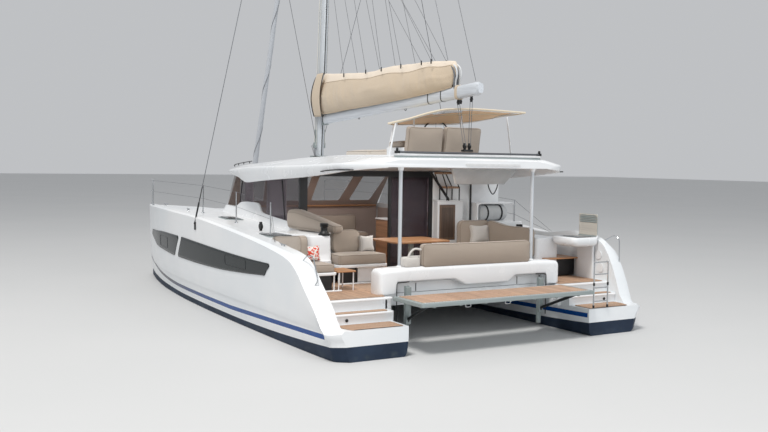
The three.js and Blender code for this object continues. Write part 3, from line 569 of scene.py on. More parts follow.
def veneer(name, tone, along="x"):
    f = Finish(name, linear(*tone), 0.4, coat=0.2)
    scale = {"x": (1.5, 22, 22), "y": (22, 1.5, 22), "z": (22, 22, 1.5)}[along]
    grain = f.noise(1.2, 6, where=f.stretched(scale))
    fine = f.noise(6, 4, where=f.stretched(scale))
    f.set("Base Color", f.mix(grain.rise(0.25, 0.75) * 0.7 + fine * 0.3,
        tuple(v * 0.6 for v in linear(*tone)), tuple(v * 1.25 for v in linear(*tone))))
    f.set("Roughness", 0.35 + fine * 0.2)
    f.bump(grain, 0.0004, 0.4)
    return f.material


def netting():
    # Square mesh: cords stay, the holes between them are clear
    f = Finish("netting", linear(205, 205, 200), 0.8)
    x, y, _ = f.axes()
    cord = ((x * 40).fract() - 0.5).absolute().most(((y * 40).fract() - 0.5).absolute())
    f.set("Alpha", (cord > 0.34) * 1.0)
    f.set("Base Color", f.mix(f.noise(90, 3), linear(188, 188, 184), linear(222, 222, 218)))
    f.bump(cord, 0.002, 0.5)
    return f.material


def coralPrint():
    # White cloth with branching coral-red patches: where a warped noise passes a threshold
    f = Finish("coralPrint", linear(236, 230, 224), 0.9)
    patch = f.noise(26, 1).rise(0.5, 0.53)
    f.set("Base Color", f.mix(patch, linear(236, 230, 224), linear(220, 74, 52)))
    f.bump(f.noise(900, 1), 0.0006, 0.3)
    return f.material


# Finishes by kind: each with its material's name and the other arguments of the kind
paint = dict(gelcoat=whiteGelcoat(), hull=hullPaint(), grip=deckGrip(), net=netting(), coral=coralPrint())
# The sail bag's top finish is its canvas painted lighter than the sides: painted light falling on the top.
for kind, rows in ((teakDeck, dict(teak=("teakDeck",), liftTeak=("liftTeak", "x", 0.0717, (190, 156, 132)),
        teakAcross=("teakAcross", "y"))), (wovenFabric, dict(cushion=("taupeFabric", (167, 154, 141)),
        cushionDark=("taupeShade", (140, 128, 116)), pillow=("paleFabric", (208, 204, 199)),
        bag=("bagCanvas", (201, 183, 159), 700, 0.05), awning=("awningCanvas", (224, 211, 188), 800, 0.05),
        # The dark grey rope finish also paints the set-back folds of the sail: painted shade between the
        # flakes.
        headsail=("headsailStrip", (188, 192, 198), 700, 0.06), rope=("paleRope", (214, 212, 205), 1500, 0.1,
        0.2), greyRope=("greyRope", (104, 106, 110), 1500, 0.15, 0.2), lining=("saloonLining",
        (168, 152, 144), 500, 0.06, 0.1), padFabric=("padFabric", (206, 197, 186)), bagTop=("bagTopCanvas",
        (230, 216, 198), 700, 0.05), awningUnder=("awningUnder", (248, 200, 142), 800, 0.05),
        # The awning's underside finish just above is its canvas painted brighter and more orange: painted
        # light shining through the canvas.
        sailcloth=("sailcloth", (206, 208, 210), 900, 0.05), curtain=("paleCurtain", (240, 226, 234), 600,
        0.05))), (brushedMetal, dict(spar=("anodisedSpar", (212, 217, 222), 0.38, "z", 0.4),
        sparAlong=("anodisedBoom", (222, 227, 233), 0.4, "x", 0.3), steel=("polishedSteel", (205, 208, 211),
        0.14), greyMetal=("greyFrame", (160, 170, 170), 0.42, "y", 0.35), wire=("rigWire", (120, 122, 126),
        0.35), bronze=("bronze", (150, 118, 74), 0.35, "x"), lid=("lidSteel", (214, 208, 198), 0.5, "x",
        0.2))), (glassFinish, dict(saloonGlass=("saloonGlass", (74, 64, 72), 0.42),
        screenGlass=("screenGlass", (92, 76, 68), 0.3), hullGlass=("hullGlass", (40, 46, 48), 1.0, 0.16,
        0.15), hullPanel=("hullPanel", (28, 33, 36), 1.0, 0.28, 0.2), awningWindow=("awningWindow",
        (196, 206, 214), 0.55, 0.1))), (plainPlastic, dict(frame=("blackFrame", (28, 29, 32), 0.35),
        # The pale grey moulding finish also paints the white raft canister: painted shade of its niche.
        black=("blackPlastic", (26, 27, 29), 0.4), greyMoulding=("greyMoulding", (206, 208, 209), 0.4),
        white=("whitePlastic", (232, 233, 234), 0.35))),
        (veneer, dict(furniture=("saloonOak", (158, 120, 92)), door=("cabinetOak", (120, 98, 82), "z"),
        wood=("outdoorTeak", (176, 128, 88), "y"), doorPanel=("doorPanel", (96, 80, 70), "z"))),):
    paint.update({key: kind(*row) for key, row in rows.items()})


def put(name, shape, key, body="craft", stands=(), slot=None, **edges):
    # Makes a piece of one shape or of a list of them, in a finish; its slot argument is not used
    shape = merged(*shape) if isinstance(shape, list) else shape
    piece = make(name, shape, paint[key], body, stands, **edges)
    return piece


# Finish of the nodes carried over from the frame
looks = {
    "gelcoat":
        "bridge_deck aft_beam saloon_wall_port saloon_wall_starboard screen_wall roof canopy_frame "
        "cockpit_moulding_port cockpit_moulding_starboard galley_counter locker_lid_port "
        "locker_lid_starboard",
    "hull": "hull_port hull_starboard rudder_port rudder_starboard drive_leg_port drive_leg_starboard",
    "greyMoulding": "helm_footwell",
    "frame": "aft_bulkhead",
    "saloonGlass": "side_glass_port side_glass_starboard bulkhead_glass door_leaf_inner door_leaf_outer",
    "screenGlass": "screen_glass",
    "teakAcross": "lift_platform",
    "furniture": "saloon_furniture cockpit_table",
    "door": "cabinet_door",
    "cushion": "helm_cushions roof_pad lounge_cushions bench_cushions sofa_cushions aft_bench_back",
    "awning": "canopy",
    "bag": "sail_bag",
    "headsail": "furled_headsail",
    "spar": "crossbeam traveller_track mast",
    "sparAlong": "boom",
    "steel": "grill_lid swim_ladder pulpit_port pulpit_starboard",
    "wire": "shroud_port shroud_starboard",
    "net": "net_port net_starboard",
    "black": "steering_wheel traveller_car",
    "bronze": "propeller_port propeller_starboard",
}
for key, names in looks.items():
    for name in names.split():
        node[name].data.materials.clear()
        node[name].data.materials.append(paint[key])
print("materials on the carried-over nodes")

# Hull rows: x, outer edge, inner edge, waterline outer and inner, inner deck height, keel depth
hull = dict(rows=[(5.965, 2.465, 2.375, 2.455, 2.385, 1.84, -0.06), (5.6, 2.62, 2.24, 2.52, 2.33, 1.87,
    -0.38), (4.6, 2.86, 2.02, 2.72, 2.18, 1.90, -0.50), (3.0, 3.12, 1.89, 2.96, 2.04, 1.92, -0.56),
    (1.0, 3.27, 1.861, 3.12, 1.96, 1.86, -0.58), (-1.0, 3.30, 1.861, 3.18, 1.94, 1.72, -0.56),
    (-2.35, 3.30, 1.861, 3.19, 1.935, 1.62, -0.50), (-3.35, 3.30, 1.861, 3.19, 1.93, 1.62, -0.43),
    (-4.45, 3.30, 1.861, 3.18, 1.92, 1.60, -0.32), (-5.25, 3.30, 1.861, 3.17, 1.90, 1.60, -0.19),
    (-5.8, 3.29, 1.875, 3.15, 1.90, 1.60, -0.11), (-5.965, 3.08, 1.885, 2.96, 1.905, 1.60, -0.09)],
    sheer=[(5.965, 1.83), (5.6, 1.86), (4.6, 1.88), (3.0, 1.91), (1.0, 1.895), (-0.16, 1.865), (-1.2, 1.805),
    (-2.35, 1.725), (-3.35, 1.645)], sweep=dict(port=[(-4.05, 1.575), (-4.56, 1.50), (-4.85, 1.37),
    (-5.12, 1.14), (-5.51, 0.815), (-5.85, 0.483), (-5.965, 0.481)], starboard=[(-3.8, 1.68), (-4.45, 1.735),
    (-4.85, 1.65), (-5.1, 1.53), (-5.28, 1.30), (-5.42, 1.02), (-5.68, 0.483), (-5.965, 0.481)]),
    shoulder=[(5.965, 0.02), (3.0, 0.035), (-2.0, 0.05), (-4.2, 0.09), (-5.0, 0.15), (-5.6, 0.12),
    (-5.965, 0.05)], wingInner=3.0, sole=0.84, tread=0.65, landing=0.48, soleEdge=-5.25, treadEdge=-5.46,
    bulkhead=-2.2, chine=0.47, flare=0.55, belly=0.012, spacing=0.11)


def hullRings(side):
    # Rings of one hull, from the sheer down round the keel and up to the deck; two stations share an x at
    # each step
    h = hull
    xs = np.concatenate([np.arange(-5.8, 5.9, h["spacing"]), [-5.965, -5.9, -5.85, 5.9, 5.93, 5.95, 5.96,
        5.965]])
    steps = [h["treadEdge"], h["soleEdge"], h["bulkhead"]]
    xs = np.sort(np.concatenate([xs, steps]))
    floorOf = np.array([h["landing"], h["tread"], h["sole"], 9.0])
    region = np.searchsorted(steps, xs, side="right")
    for k, edge in enumerate(steps):  # double station: the lower floor first
        at = int(np.where(xs == edge)[0][0])
        xs, region = np.insert(xs, at, edge), np.insert(region, at, k)
    row = eased(h["rows"], xs)
    outer, inner, wetOuter, wetInner, deck, keel = row.T
    nose = np.sqrt(np.clip(1 - (np.clip(xs - 5.88, 0, None) / 0.085) ** 2, 0.03, 1))
    mid, wetMid = (outer + inner) / 2, (wetOuter + wetInner) / 2
    outer, inner = mid + (outer - mid) * nose, mid + (inner - mid) * nose
    wetOuter, wetInner = wetMid + (wetOuter - wetMid) * nose, wetMid + (wetInner - wetMid) * nose
    sheer = eased(h["sheer"] + h["sweep"][side], xs)[:, 0]
    shoulder = eased(h["shoulder"], xs)[:, 0] * np.minimum(nose * 2, 1)
    floor = floorOf[region]
    open_ = floor > 5
    wing = np.where(open_, np.maximum(outer - 0.2 * nose, mid), h["wingInner"])
    floorIn = np.where(open_, np.minimum(deck, sheer - 0.03), floor)
    floorOut = np.where(open_, sheer - 0.02, floor)
    top = np.maximum(sheer, floorOut + 0.002)
    wing = np.minimum(wing, outer - shoulder - 0.005)
    lowTop = np.minimum(h["chine"], top - 0.16)

    def line(ya, za, yb, zb, count, bow=0.0):
        t = np.linspace(0, 1, count + 1)[None, 1:]
        y = ya[:, None] + (yb - ya)[:, None] * t + bow * np.sin(np.pi * t)
        z = za[:, None] + (zb - za)[:, None] * t
        return np.stack([np.broadcast_to(xs[:, None], y.shape), y, z], -1)

    chineOut = wetOuter + (outer - wetOuter) * h["flare"]
    wl = np.full_like(xs, 0.1)
    t = np.linspace(0, np.pi / 2, 11)[None, 1:]
    half = (wetOuter - wetInner)[:, None] / 2
    cross = np.sign(np.cos(t)) * np.abs(np.cos(t)) ** 0.8
    drop = wl[:, None] + (keel - 0.1)[:, None] * np.sin(t) ** 0.85
    lower = np.stack([np.broadcast_to(xs[:, None], drop.shape), wetMid[:, None] + half * cross, drop], -1)
    rise = np.stack([np.broadcast_to(xs[:, None], drop.shape), wetMid[:, None] - half * cross, drop], -1)[:,
        ::-1]
    innerTop = np.minimum(0.62, floorIn - 0.08)
    rings = np.concatenate([
        line(outer - shoulder, top, outer - shoulder, top, 1),
        line(outer - shoulder, top, outer, top - shoulder * 0.75, 1),
        line(outer, top - shoulder * 0.75, chineOut, lowTop, 9, h["belly"]),
        line(chineOut, lowTop, chineOut - 0.014, lowTop - 0.02, 1),
        line(chineOut - 0.014, lowTop - 0.02, wetOuter, wl, 4, 0.004),
        lower, rise,
        line(wetInner, wl, inner, innerTop, 5, -0.006),
        line(inner, innerTop, inner, floorIn, 2),
        line(inner, floorIn, wing, floorOut, 4),
        line(wing, floorOut, wing, top, 2),
    ], axis=1)
    lean = np.clip((rings[..., 0] - 4.4) / 1.56, 0, 1) ** 3 * 0.09
    rings[..., 0] -= lean * np.clip(1 - rings[..., 2] / 1.84, 0, 1.3)
    return rings


# Fixed keel, lofted between two heights: x, half thickness
keelShape = [(1.2, 0.02), (1.05, 0.062), (0.75, 0.1), (0.3, 0.115), (-0.4, 0.1), (-0.9, 0.05), (-1.2, 0.012)]


def blade(shape, x0, levels):
    # An outline of x and half thickness, scaled and moved at each height
    s = np.array(shape)
    around = np.vstack([s, s[::-1] * [1, -1]])
    return skin([np.column_stack([x0 + around[:, 0] * size + rake, 2.56 + around[:, 1] * size,
        np.full(len(around), z)]) for z, size, rake in levels], wrapV=True, capU=True)


def buildHull(side):
    body = skin(hullRings(side), wrapV=True, capU=True)
    keel = blade(keelShape, -0.3, [(-0.25, 1, 0), (-0.7, 0.95, -0.06), (-1.2, 0.86, -0.16)])
    shapes = [body, keel, turned([(-0.3, 0.07), (0.0, 0.07)], (-5.15, 2.56, 0))]
    if side == "starboard":
        shapes = [mirrored(s) for s in shapes]
    put("hullShell" + side.title(), shapes[0], "hull", stands="hull_" + side, bevel=0.016, steps=3)
    put("keel" + side.title(), shapes[1:], "hull", bevel=0.01)


for side in ("port", "starboard"):
    buildHull(side)
print("hulls")


def topsideY(x, z):
    # The topside between its shoulder and the chine: a straight line bowed outward, as in the hull's rings
    row = eased(hull["rows"], x)
    high = (eased(hull["sheer"] + hull["sweep"]["port"], x) - eased(hull["shoulder"], x) * 0.75)[:, 0]
    foot = row[:, 2] + (row[:, 0] - row[:, 2]) * hull["flare"]
    t = (high - z) / (high - hull["chine"])
    return row[:, 0] + (foot - row[:, 0]) * t + hull["belly"] * np.sin(np.pi * np.clip(t, 0, 1))


def deckAt(x, y):
    # Side deck and foredeck of a hull: straight from the inner edge out to the wing
    row = eased(hull["rows"], x)
    sheer = eased(hull["sheer"] + hull["sweep"]["port"], x)[:, 0]
    inner, outer = row[:, 1], row[:, 0] - 0.2
    low = np.minimum(row[:, 4], sheer - 0.03)
    return low + (sheer - 0.02 - low) * np.clip((y - inner) / (outer - inner), 0, 1)


# Dark glass band in two lengths a side; a table gives its top and bottom edge as x, z
band = dict(
    top=[(4.86, 1.29), (3.92, 1.32), (2.6, 1.37), (1.29, 1.38), (-0.16, 1.35), (-1.2, 1.32), (-2.1, 1.30),
         (-3.0, 1.29), (-3.76, 1.295)],
    bottom=[(4.9, 1.26), (4.5, 1.16), (3.92, 1.04), (3.67, 0.985), (2.6, 0.94), (1.64, 0.92), (0.4, 0.92),
            (-1.2, 0.94), (-2.5, 1.0), (-3.58, 1.07)],
    lengths=[((4.45, 1.29), (4.55, 1.64)), ((1.07, -3.76), (1.37, -3.58))],
    proud=0.005, corner=0.05, ports=[((-2.69, -1.66), (1.07, 1.26)), ((2.3, 3.1), (1.02, 1.27))])


def hullBand(topEnds, bottomEnds):
    b = band
    s = np.concatenate([[0, 0.002, 0.005, 0.01], np.linspace(0.015, 0.985, 44), [0.99, 0.995, 0.998, 1]])
    xTop = topEnds[0] + (topEnds[1] - topEnds[0]) * s
    xLow = bottomEnds[0] + (bottomEnds[1] - bottomEnds[0]) * s
    high, low = eased(b["top"], xTop)[:, 0], eased(b["bottom"], xLow)[:, 0]
    reach = np.minimum(s, 1 - s) * abs(topEnds[1] - topEnds[0])
    round_ = b["corner"] * (1 - np.sqrt(np.clip(1 - (1 - np.clip(reach / b["corner"], 0, 1)) ** 2, 0, 1)))
    t = np.linspace(0, 1, 9)[None, :]
    z = (low + round_)[:, None] * (1 - t) + (high - round_)[:, None] * t
    x = xLow[:, None] * (1 - t) + xTop[:, None] * t
    y = topsideY(x.ravel(), z.ravel()).reshape(x.shape) + b["proud"]
    return skin(np.stack([x, y, z], -1))


def portFrame(xs, zs, grow=0.0):
    # Rounded rectangle on the band's surface
    corners = [(xs[0] - grow, zs[0] - grow), (xs[1] + grow, zs[0] - grow), (xs[1] + grow, zs[1] + grow),
        (xs[0] - grow, zs[1] + grow)]
    ring = bent(corners, 0.06, 6, closed=True)
    y = topsideY(ring[:, 0], ring[:, 1]) + band["proud"] + 0.003
    return np.column_stack([ring[:, 0], y, ring[:, 1]])


for side, turn in sides:
    panes = merged(*(hullBand(*ends) for ends in band["lengths"]))
    put("hullGlass" + side, turn(panes), "hullGlass", wall=-0.004)
    rims = merged(*(tube(portFrame(*p), 0.007, 6, wrap=True) for p in band["ports"]))
    lids = merged(*((lambda r: (r, [list(range(len(r)))]))(portFrame(*p, grow=-0.03)) for p in band["ports"]))
    put("hullPorts" + side, turn(merged(rims, lids)), "hullPanel", smooth=False)
print("hull windows")

# Teak on the transom steps and the cockpit's sole: outline in x and y, and its height
teakAreas = [
    ([(-5.93, 1.95), (-5.93, 2.86), (-5.72, 2.93), (-5.5, 2.93), (-5.5, 1.95)], 0.482, "teakAcross"),
    ([(-5.445, 1.95), (-5.445, 2.93), (-5.30, 2.93), (-5.30, 1.95)], 0.652, "teakAcross"),
    ([(-5.2, 1.86), (-5.2, 2.94), (-4.5, 2.94), (-4.5, 1.86)], 0.842, "teak"),
]


def teakPads():
    shapes = {"teak": [], "teakAcross": []}
    for outline, z, key in teakAreas:
        pad = prism(bent(outline, 0.05, 5, closed=True), "z", z, z + 0.009)
        shapes[key] += [pad, mirrored(pad)]
    cockpit = prism([(-4.72, -1.85), (-4.72, 1.85), (-4.494, 1.85), (-4.494, 2.94), (-3.3, 2.94), (-3.3, 1.9),
        (-2.24, 1.84), (-2.24, -1.84), (-3.3, -1.9), (-3.3, -2.94), (-4.494, -2.94), (-4.494, -1.85)], "z",
        0.843, 0.851)
    shapes["teak"].append(cockpit)
    for key, parts in shapes.items():
        put("pads" + key.title(), parts, key, bevel=0.002, steps=1, slot="teak")


teakPads()


def stepLips():
    # Rounded nosings that stand proud of the three risers of each stern
    shapes = []
    for x, z, deep in ((-5.262, 0.80, 0.038), (-5.472, 0.612, 0.036)):
        lip = tile((x - 0.016, 1.77 if x > -5.3 else 1.9, z), (x + 0.1, 2.985, z + deep), 0.016, axis="y")
        shapes += [lip, mirrored(lip)]
    ledge = box((-5.25, 1.78, 0.45), (-5.0, 1.9, 0.81))
    shapes += [ledge, mirrored(ledge)]
    drain = lathe([(-5.462, 0.026), (-5.468, 0.028), (-5.471, 0.02)], (0, 2.72, 0.55), "x", 16)
    put("stepLips", shapes, "gelcoat", bevel=0.006)
    put("stepDrains", bothSides(drain), "black")


stepLips()
print("transom steps")

# Roof: x, half width, side's lower edge, side's upper edge, crown, underside
roofTable = [(-4.98, 1.84, 2.945, 3.03, 3.08, 2.955), (-4.88, 2.08, 2.92, 3.035, 3.12, 2.95),
    (-4.5, 2.355, 2.87, 3.02, 3.155, 2.95), (-3.2, 2.38, 2.755, 2.975, 3.16, 2.9), (-2.0, 2.38, 2.685, 2.945,
    3.13, 2.85), (-0.9, 2.355, 2.622, 2.92, 3.07, 2.8), (-0.2, 2.315, 2.578, 2.9, 3.03, 2.78),
    (0.45, 2.25, 2.68, 2.865, 2.995, 2.775), (1.3, 2.11, 2.742, 2.83, 2.94, 2.775), (1.75, 1.88, 2.752, 2.812,
    2.89, 2.775), (1.98, 1.44, 2.762, 2.80, 2.85, 2.775)]
helm = dict(well=[(-3.775, -0.33), (-3.775, -2.075), (-2.935, -2.075), (-2.935, -0.98)],
            wellFloor=[(-3.40, -0.72), (-3.40, -1.98), (-2.97, -1.98), (-2.97, -1.05)], floor=2.625, rim=3.0,
            stair=[(-3.0, -1.59), (-2.33, -1.59), (-2.33, -1.06), (-3.0, -1.06)])


def roofRings(xs):
    # Half a ring from the crown out over the rounded side to the chin and back under, then mirrored
    half, low, up, crown, under = eased(roofTable, xs).T
    turn = np.linspace(0, 1, 7)[None, :]
    flat = np.minimum(1.7, half - 0.35)
    top = np.linspace(0, 1, 9)[None, :] * flat[:, None]
    y = [top]
    z = [crown[:, None] - (crown - up)[:, None] * 0.12 * (top / flat[:, None]) ** 3]
    slope = flat[:, None] + (half - 0.06 - flat)[:, None] * turn[:, 1:]
    y.append(slope)
    z.append(z[0][:, -1:] + (up[:, None] - z[0][:, -1:]) * turn[:, 1:] ** 1.15)
    a = np.pi / 2 * turn[:, 1:]
    y.append(half[:, None] - 0.06 * (1 - np.sin(a)))
    z.append(up[:, None] - 0.045 * (1 - np.cos(a)))
    chin = np.linspace(0.25, 1, 5)[None, :]
    y.append(half[:, None] - 0.03 * chin ** 2)
    z.append((up - 0.045)[:, None] + (low - up + 0.045)[:, None] * chin)
    y.append(np.stack([half - 0.07, half - 0.12, half - 0.15], 1))
    z.append(np.stack([low - 0.004, low + (under - low) * 0.3, under], 1))
    y, z = np.concatenate(y, 1), np.concatenate(z, 1)
    y, z = np.concatenate([y, -y[:, :0:-1]], 1), np.concatenate([z, z[:, :0:-1]], 1)
    x = xs[:, None] + np.zeros_like(y)
    crownY = np.abs(y) / half[:, None]
    x = x - np.clip((x - 0.9) / 1.08, 0, 1) ** 2 * 0.30 * crownY ** 3  # the brow sweeps aft to its corners
    return np.stack([x, y, z], -1)


def roofPiece():
    xs = np.concatenate([np.linspace(-4.98, -4.5, 12), np.linspace(-4.3, 1.3, 40), np.linspace(1.4, 1.98,
        14)])
    shell = make("roofShell", skin(roofRings(xs), wrapV=True, capU=True), paint["gelcoat"], stands="roof")
    carve(shell, merged(*(prism(helm[key], "z", 2.4, 3.6) for key in ("well", "stair"))))
    shell.data.set_sharp_from_angle(angle=math.radians(40))


roofPiece()


def roofTopping():
    # A low second layer, the footwell's tub, the bench base, the console with its instruments and the mast
    # step
    xs = np.linspace(-4.7, 0.98, 60)
    half = 1.38 * (1 - np.abs((xs + 1.86) / 2.84) ** 6) ** 0.5 + 0.02
    crown = eased(roofTable, xs)[:, 3]
    rows = np.stack([half, half - 0.012, half * 0.5, half * 0.0, half * -0.5, 0.012 - half, -half], 1)
    lift = np.array([-0.05, 0.012, 0.016, 0.018, 0.016, 0.012, -0.05])[None, :]
    z = crown[:, None] - 0.010 * (rows / 1.38) ** 2 + lift
    rows, z = np.concatenate([rows, rows[:, :1] * -1, rows[:, :1]], 1), np.concatenate([z,
        z[:, :1] * 0 + 2.97, z[:, :1] * 0 + 2.97], 1)
    pts, faces = skin(np.stack([xs[:, None] + 0 * z, rows, z], -1), wrapV=True, capU=True)
    holes = merged(*(prism(helm[key], "z", 2.4, 3.6) for key in ("well", "stair")))
    plate = make("roofLayer", (pts, faces), paint["gelcoat"])
    carve(plate, holes)
    plate.data.set_sharp_from_angle(angle=math.radians(40))
    rings = [np.column_stack([bent(helm[key], 0.1, 6, closed=True), np.full(24, z)]) for key,
        z in (("well", helm["rim"]), ("wellFloor", helm["floor"]))]
    pts, faces = skin(rings, wrapV=True)
    tub = make("footwellTub", (pts, faces + [list(range(24, 48))]), paint["greyMoulding"],
        stands="helm_footwell", wall=0.01)
    bench = tile((-4.3, -0.60, 3.1), (-3.7, 1.0, 3.3), 0.02, 3, axis="y")
    console = prism(bent([(-2.82, 3.1), (-2.4, 3.1), (-2.44, 3.66), (-2.52, 3.7), (-2.7, 3.7), (-2.86, 3.48)],
        0.06, 5, closed=True), "y", -1.0, -0.25)
    step = tile((0.87, -0.16, 2.9), (1.23, 0.16, 3.139), 0.05, 4)
    put("helmStation", [bench, console], "gelcoat", bevel=0.02, steps=3)
    put("mastStep", step, "greyMetal", bevel=0.008)
    shaft = turned([(-2.87, 0.03), (-2.83, 0.045), (-2.76, 0.05)], (0, -0.58, 3.53), "x", 20)
    screens = merged(roundBox((-2.84, -0.95, 3.50), (-2.76, -0.64, 3.67), 0.012, 2),
        roundBox((-2.84, -0.55, 3.51), (-2.76, -0.30, 3.66), 0.012, 2))
    put("consoleInstruments", [shaft, screens], "black")


roofTopping()
print("roof")


# Saloon side: white base with a brow, glass above it; x and z of the glass's lower and upper edge
saloon = dict(
    low=[(1.83, 1.93), (1.69, 2.03), (1.16, 2.02), (0.75, 2.13), (0.26, 2.15), (-0.11, 2.145), (-0.22, 2.09),
         (-0.33, 1.97), (-0.5, 1.94), (-1.55, 1.86), (-2.2, 1.80)],
    wall=2.0, flare=0.10, glassIn=0.018, top=2.79)


def saloonSide(turn, side):
    s = saloon
    xs = np.concatenate([np.linspace(-2.2, -0.5, 24), np.linspace(-0.45, 0.0, 19), np.linspace(0.06, 1.83,
        34)])
    high = eased(s["low"], xs)[:, 0]
    foot = deckAt(xs, np.full_like(xs, 2.05)) - 0.02
    v = np.linspace(0, 1, 10)[None, :]
    brow = 0.05 * np.exp(-((xs - 0.3) / 0.55) ** 2)[:, None]
    y = s["wall"] + (s["flare"] + brow) * (1 - v) ** 1.7 + brow * 0.3 * (1 - v)
    z = foot[:, None] + (high - foot)[:, None] * v
    x = np.broadcast_to(xs[:, None], z.shape)
    outside = np.stack([x, y, z], -1)
    back = np.stack([x, np.full_like(z, s["wall"] - 0.04), z], -1)[:, ::-1]
    base = skin(np.concatenate([outside, back], 1), wrapV=True, capU=True)
    # Post at the aft end
    post = box((-2.2, s["wall"] - 0.04, 1.75), (-2.13, s["wall"], 2.86), "y")
    put("saloonBase" + side, turn(base), "gelcoat", stands="saloon_wall_" + side.lower(), bevel=0.008,
        steps=2)
    put("saloonJamb" + side, turn(post), "frame", bevel=0.004)
    # Pane outlines: lower edge, then the raked front edge and the top under the roof
    cuts = [(-2.125, -1.46, -1.30), (-1.45, 0.93, 0.72)]
    panes = []
    for left, right, rightTop in cuts:
        low = np.linspace(left, right, 30)
        leftTop = left if left < -2 else -1.29
        topX = leftTop + (rightTop - leftTop) * np.linspace(0, 1, 30)
        v = np.linspace(0, 1, 6)[None, :]
        x = low[:, None] * (1 - v) + topX[:, None] * v
        z = (eased(s["low"], low)[:, 0] - 0.015)[:, None] * (1 - v) + s["top"] * v
        panes.append(skin(np.stack([x, np.full_like(x, s["wall"] - s["glassIn"]), z], -1)))
    low = np.linspace(0.95, 1.68, 12)
    topX = np.linspace(0.74, 1.21, 12)
    v = np.linspace(0, 1, 6)[None, :]
    x = low[:, None] * (1 - v) + topX[:, None] * v
    z = (eased(s["low"], low)[:, 0] - 0.015)[:, None] * (1 - v) + 2.76 * v
    corner = skin(np.stack([x, np.full_like(x, s["wall"] - s["glassIn"]), z], -1))
    put("sideGlass" + side, turn(merged(*panes)), "saloonGlass", stands="side_glass_" + side.lower(),
        wall=0.008, smooth=False)
    put("cornerGlass" + side, turn(corner), "screenGlass", wall=0.008, smooth=False)
    # Black bands inside the glass: one along its top edge under the roof, one along each raked pane edge.
    trim = [prism([(-2.13, 2.735), (0.9, 2.70), (1.2, 2.72), (1.2, 2.79), (-2.13, 2.86)], "y",
        s["wall"] - 0.035, s["wall"] - 0.004), prism([(0.93, 2.05), (0.955, 2.05), (0.745, 2.76),
        (0.715, 2.76)], "y", s["wall"] - 0.035, s["wall"] - 0.012),
        prism([(-1.47, 1.84), (-1.445, 1.84), (-1.28, 2.76), (-1.305, 2.76)], "y", s["wall"] - 0.035,
        s["wall"] - 0.012)]
    put("glassTrim" + side, turn(merged(*trim)), "frame", bevel=0.003, steps=1)


for side, turn in sides:
    saloonSide(turn, side)


def screen():
    # Leaning front wall with four openings, white outside and taupe inside
    lean = -0.68 / 0.86
    slab = box((-0.04, -1.957, 1.846), (0.0, 1.957, 2.775), "x")
    openings = []
    for y0, y1, y2, y3 in ((0.1, 0.84, 1.0, 0.1), (1.12, 1.69, 1.88, 1.26)):
        hole = prism(bent([(y0, 2.10), (y1, 2.10), (y2, 2.70), (y3, 2.70)], 0.05, 4, closed=True), "x", -0.2,
            0.2)
        openings += [hole, mirrored(hole)]

    def leaned(shape):
        pts = np.array(shape[0])
        pts[:, 0] += 1.83 + (pts[:, 2] - 1.92) * lean
        return pts, shape[1]

    wall = make("screenWall", leaned(slab), [paint["gelcoat"], paint["lining"]], stands="screen_wall",
        smooth=False)
    carve(wall, leaned(merged(*openings)))
    mesh = wall.data
    normals = np.zeros(len(mesh.polygons) * 3)
    mesh.polygons.foreach_get("normal", normals)
    mesh.polygons.foreach_set("material_index", (normals.reshape(-1, 3)[:, 0] < -0.3).astype(np.int32))
    glass = box((0.002, -1.93, 1.96), (0.009, 1.93, 2.74), "x")
    put("screenPane", leaned(glass), "screenGlass", stands="screen_glass", smooth=False)


screen()
print("saloon")

# Aft beam: section carried across the boat; its low edge dips in the middle
beam = dict(aft=-5.12, front=-4.76, half=1.925, top=1.29, corner=0.075, under=1.045, dip=0.93, foot=0.846,
            dips=((-0.89, -0.72), (0.19, 0.43)), posts=1.416, postX=-4.89, rails=1.42)


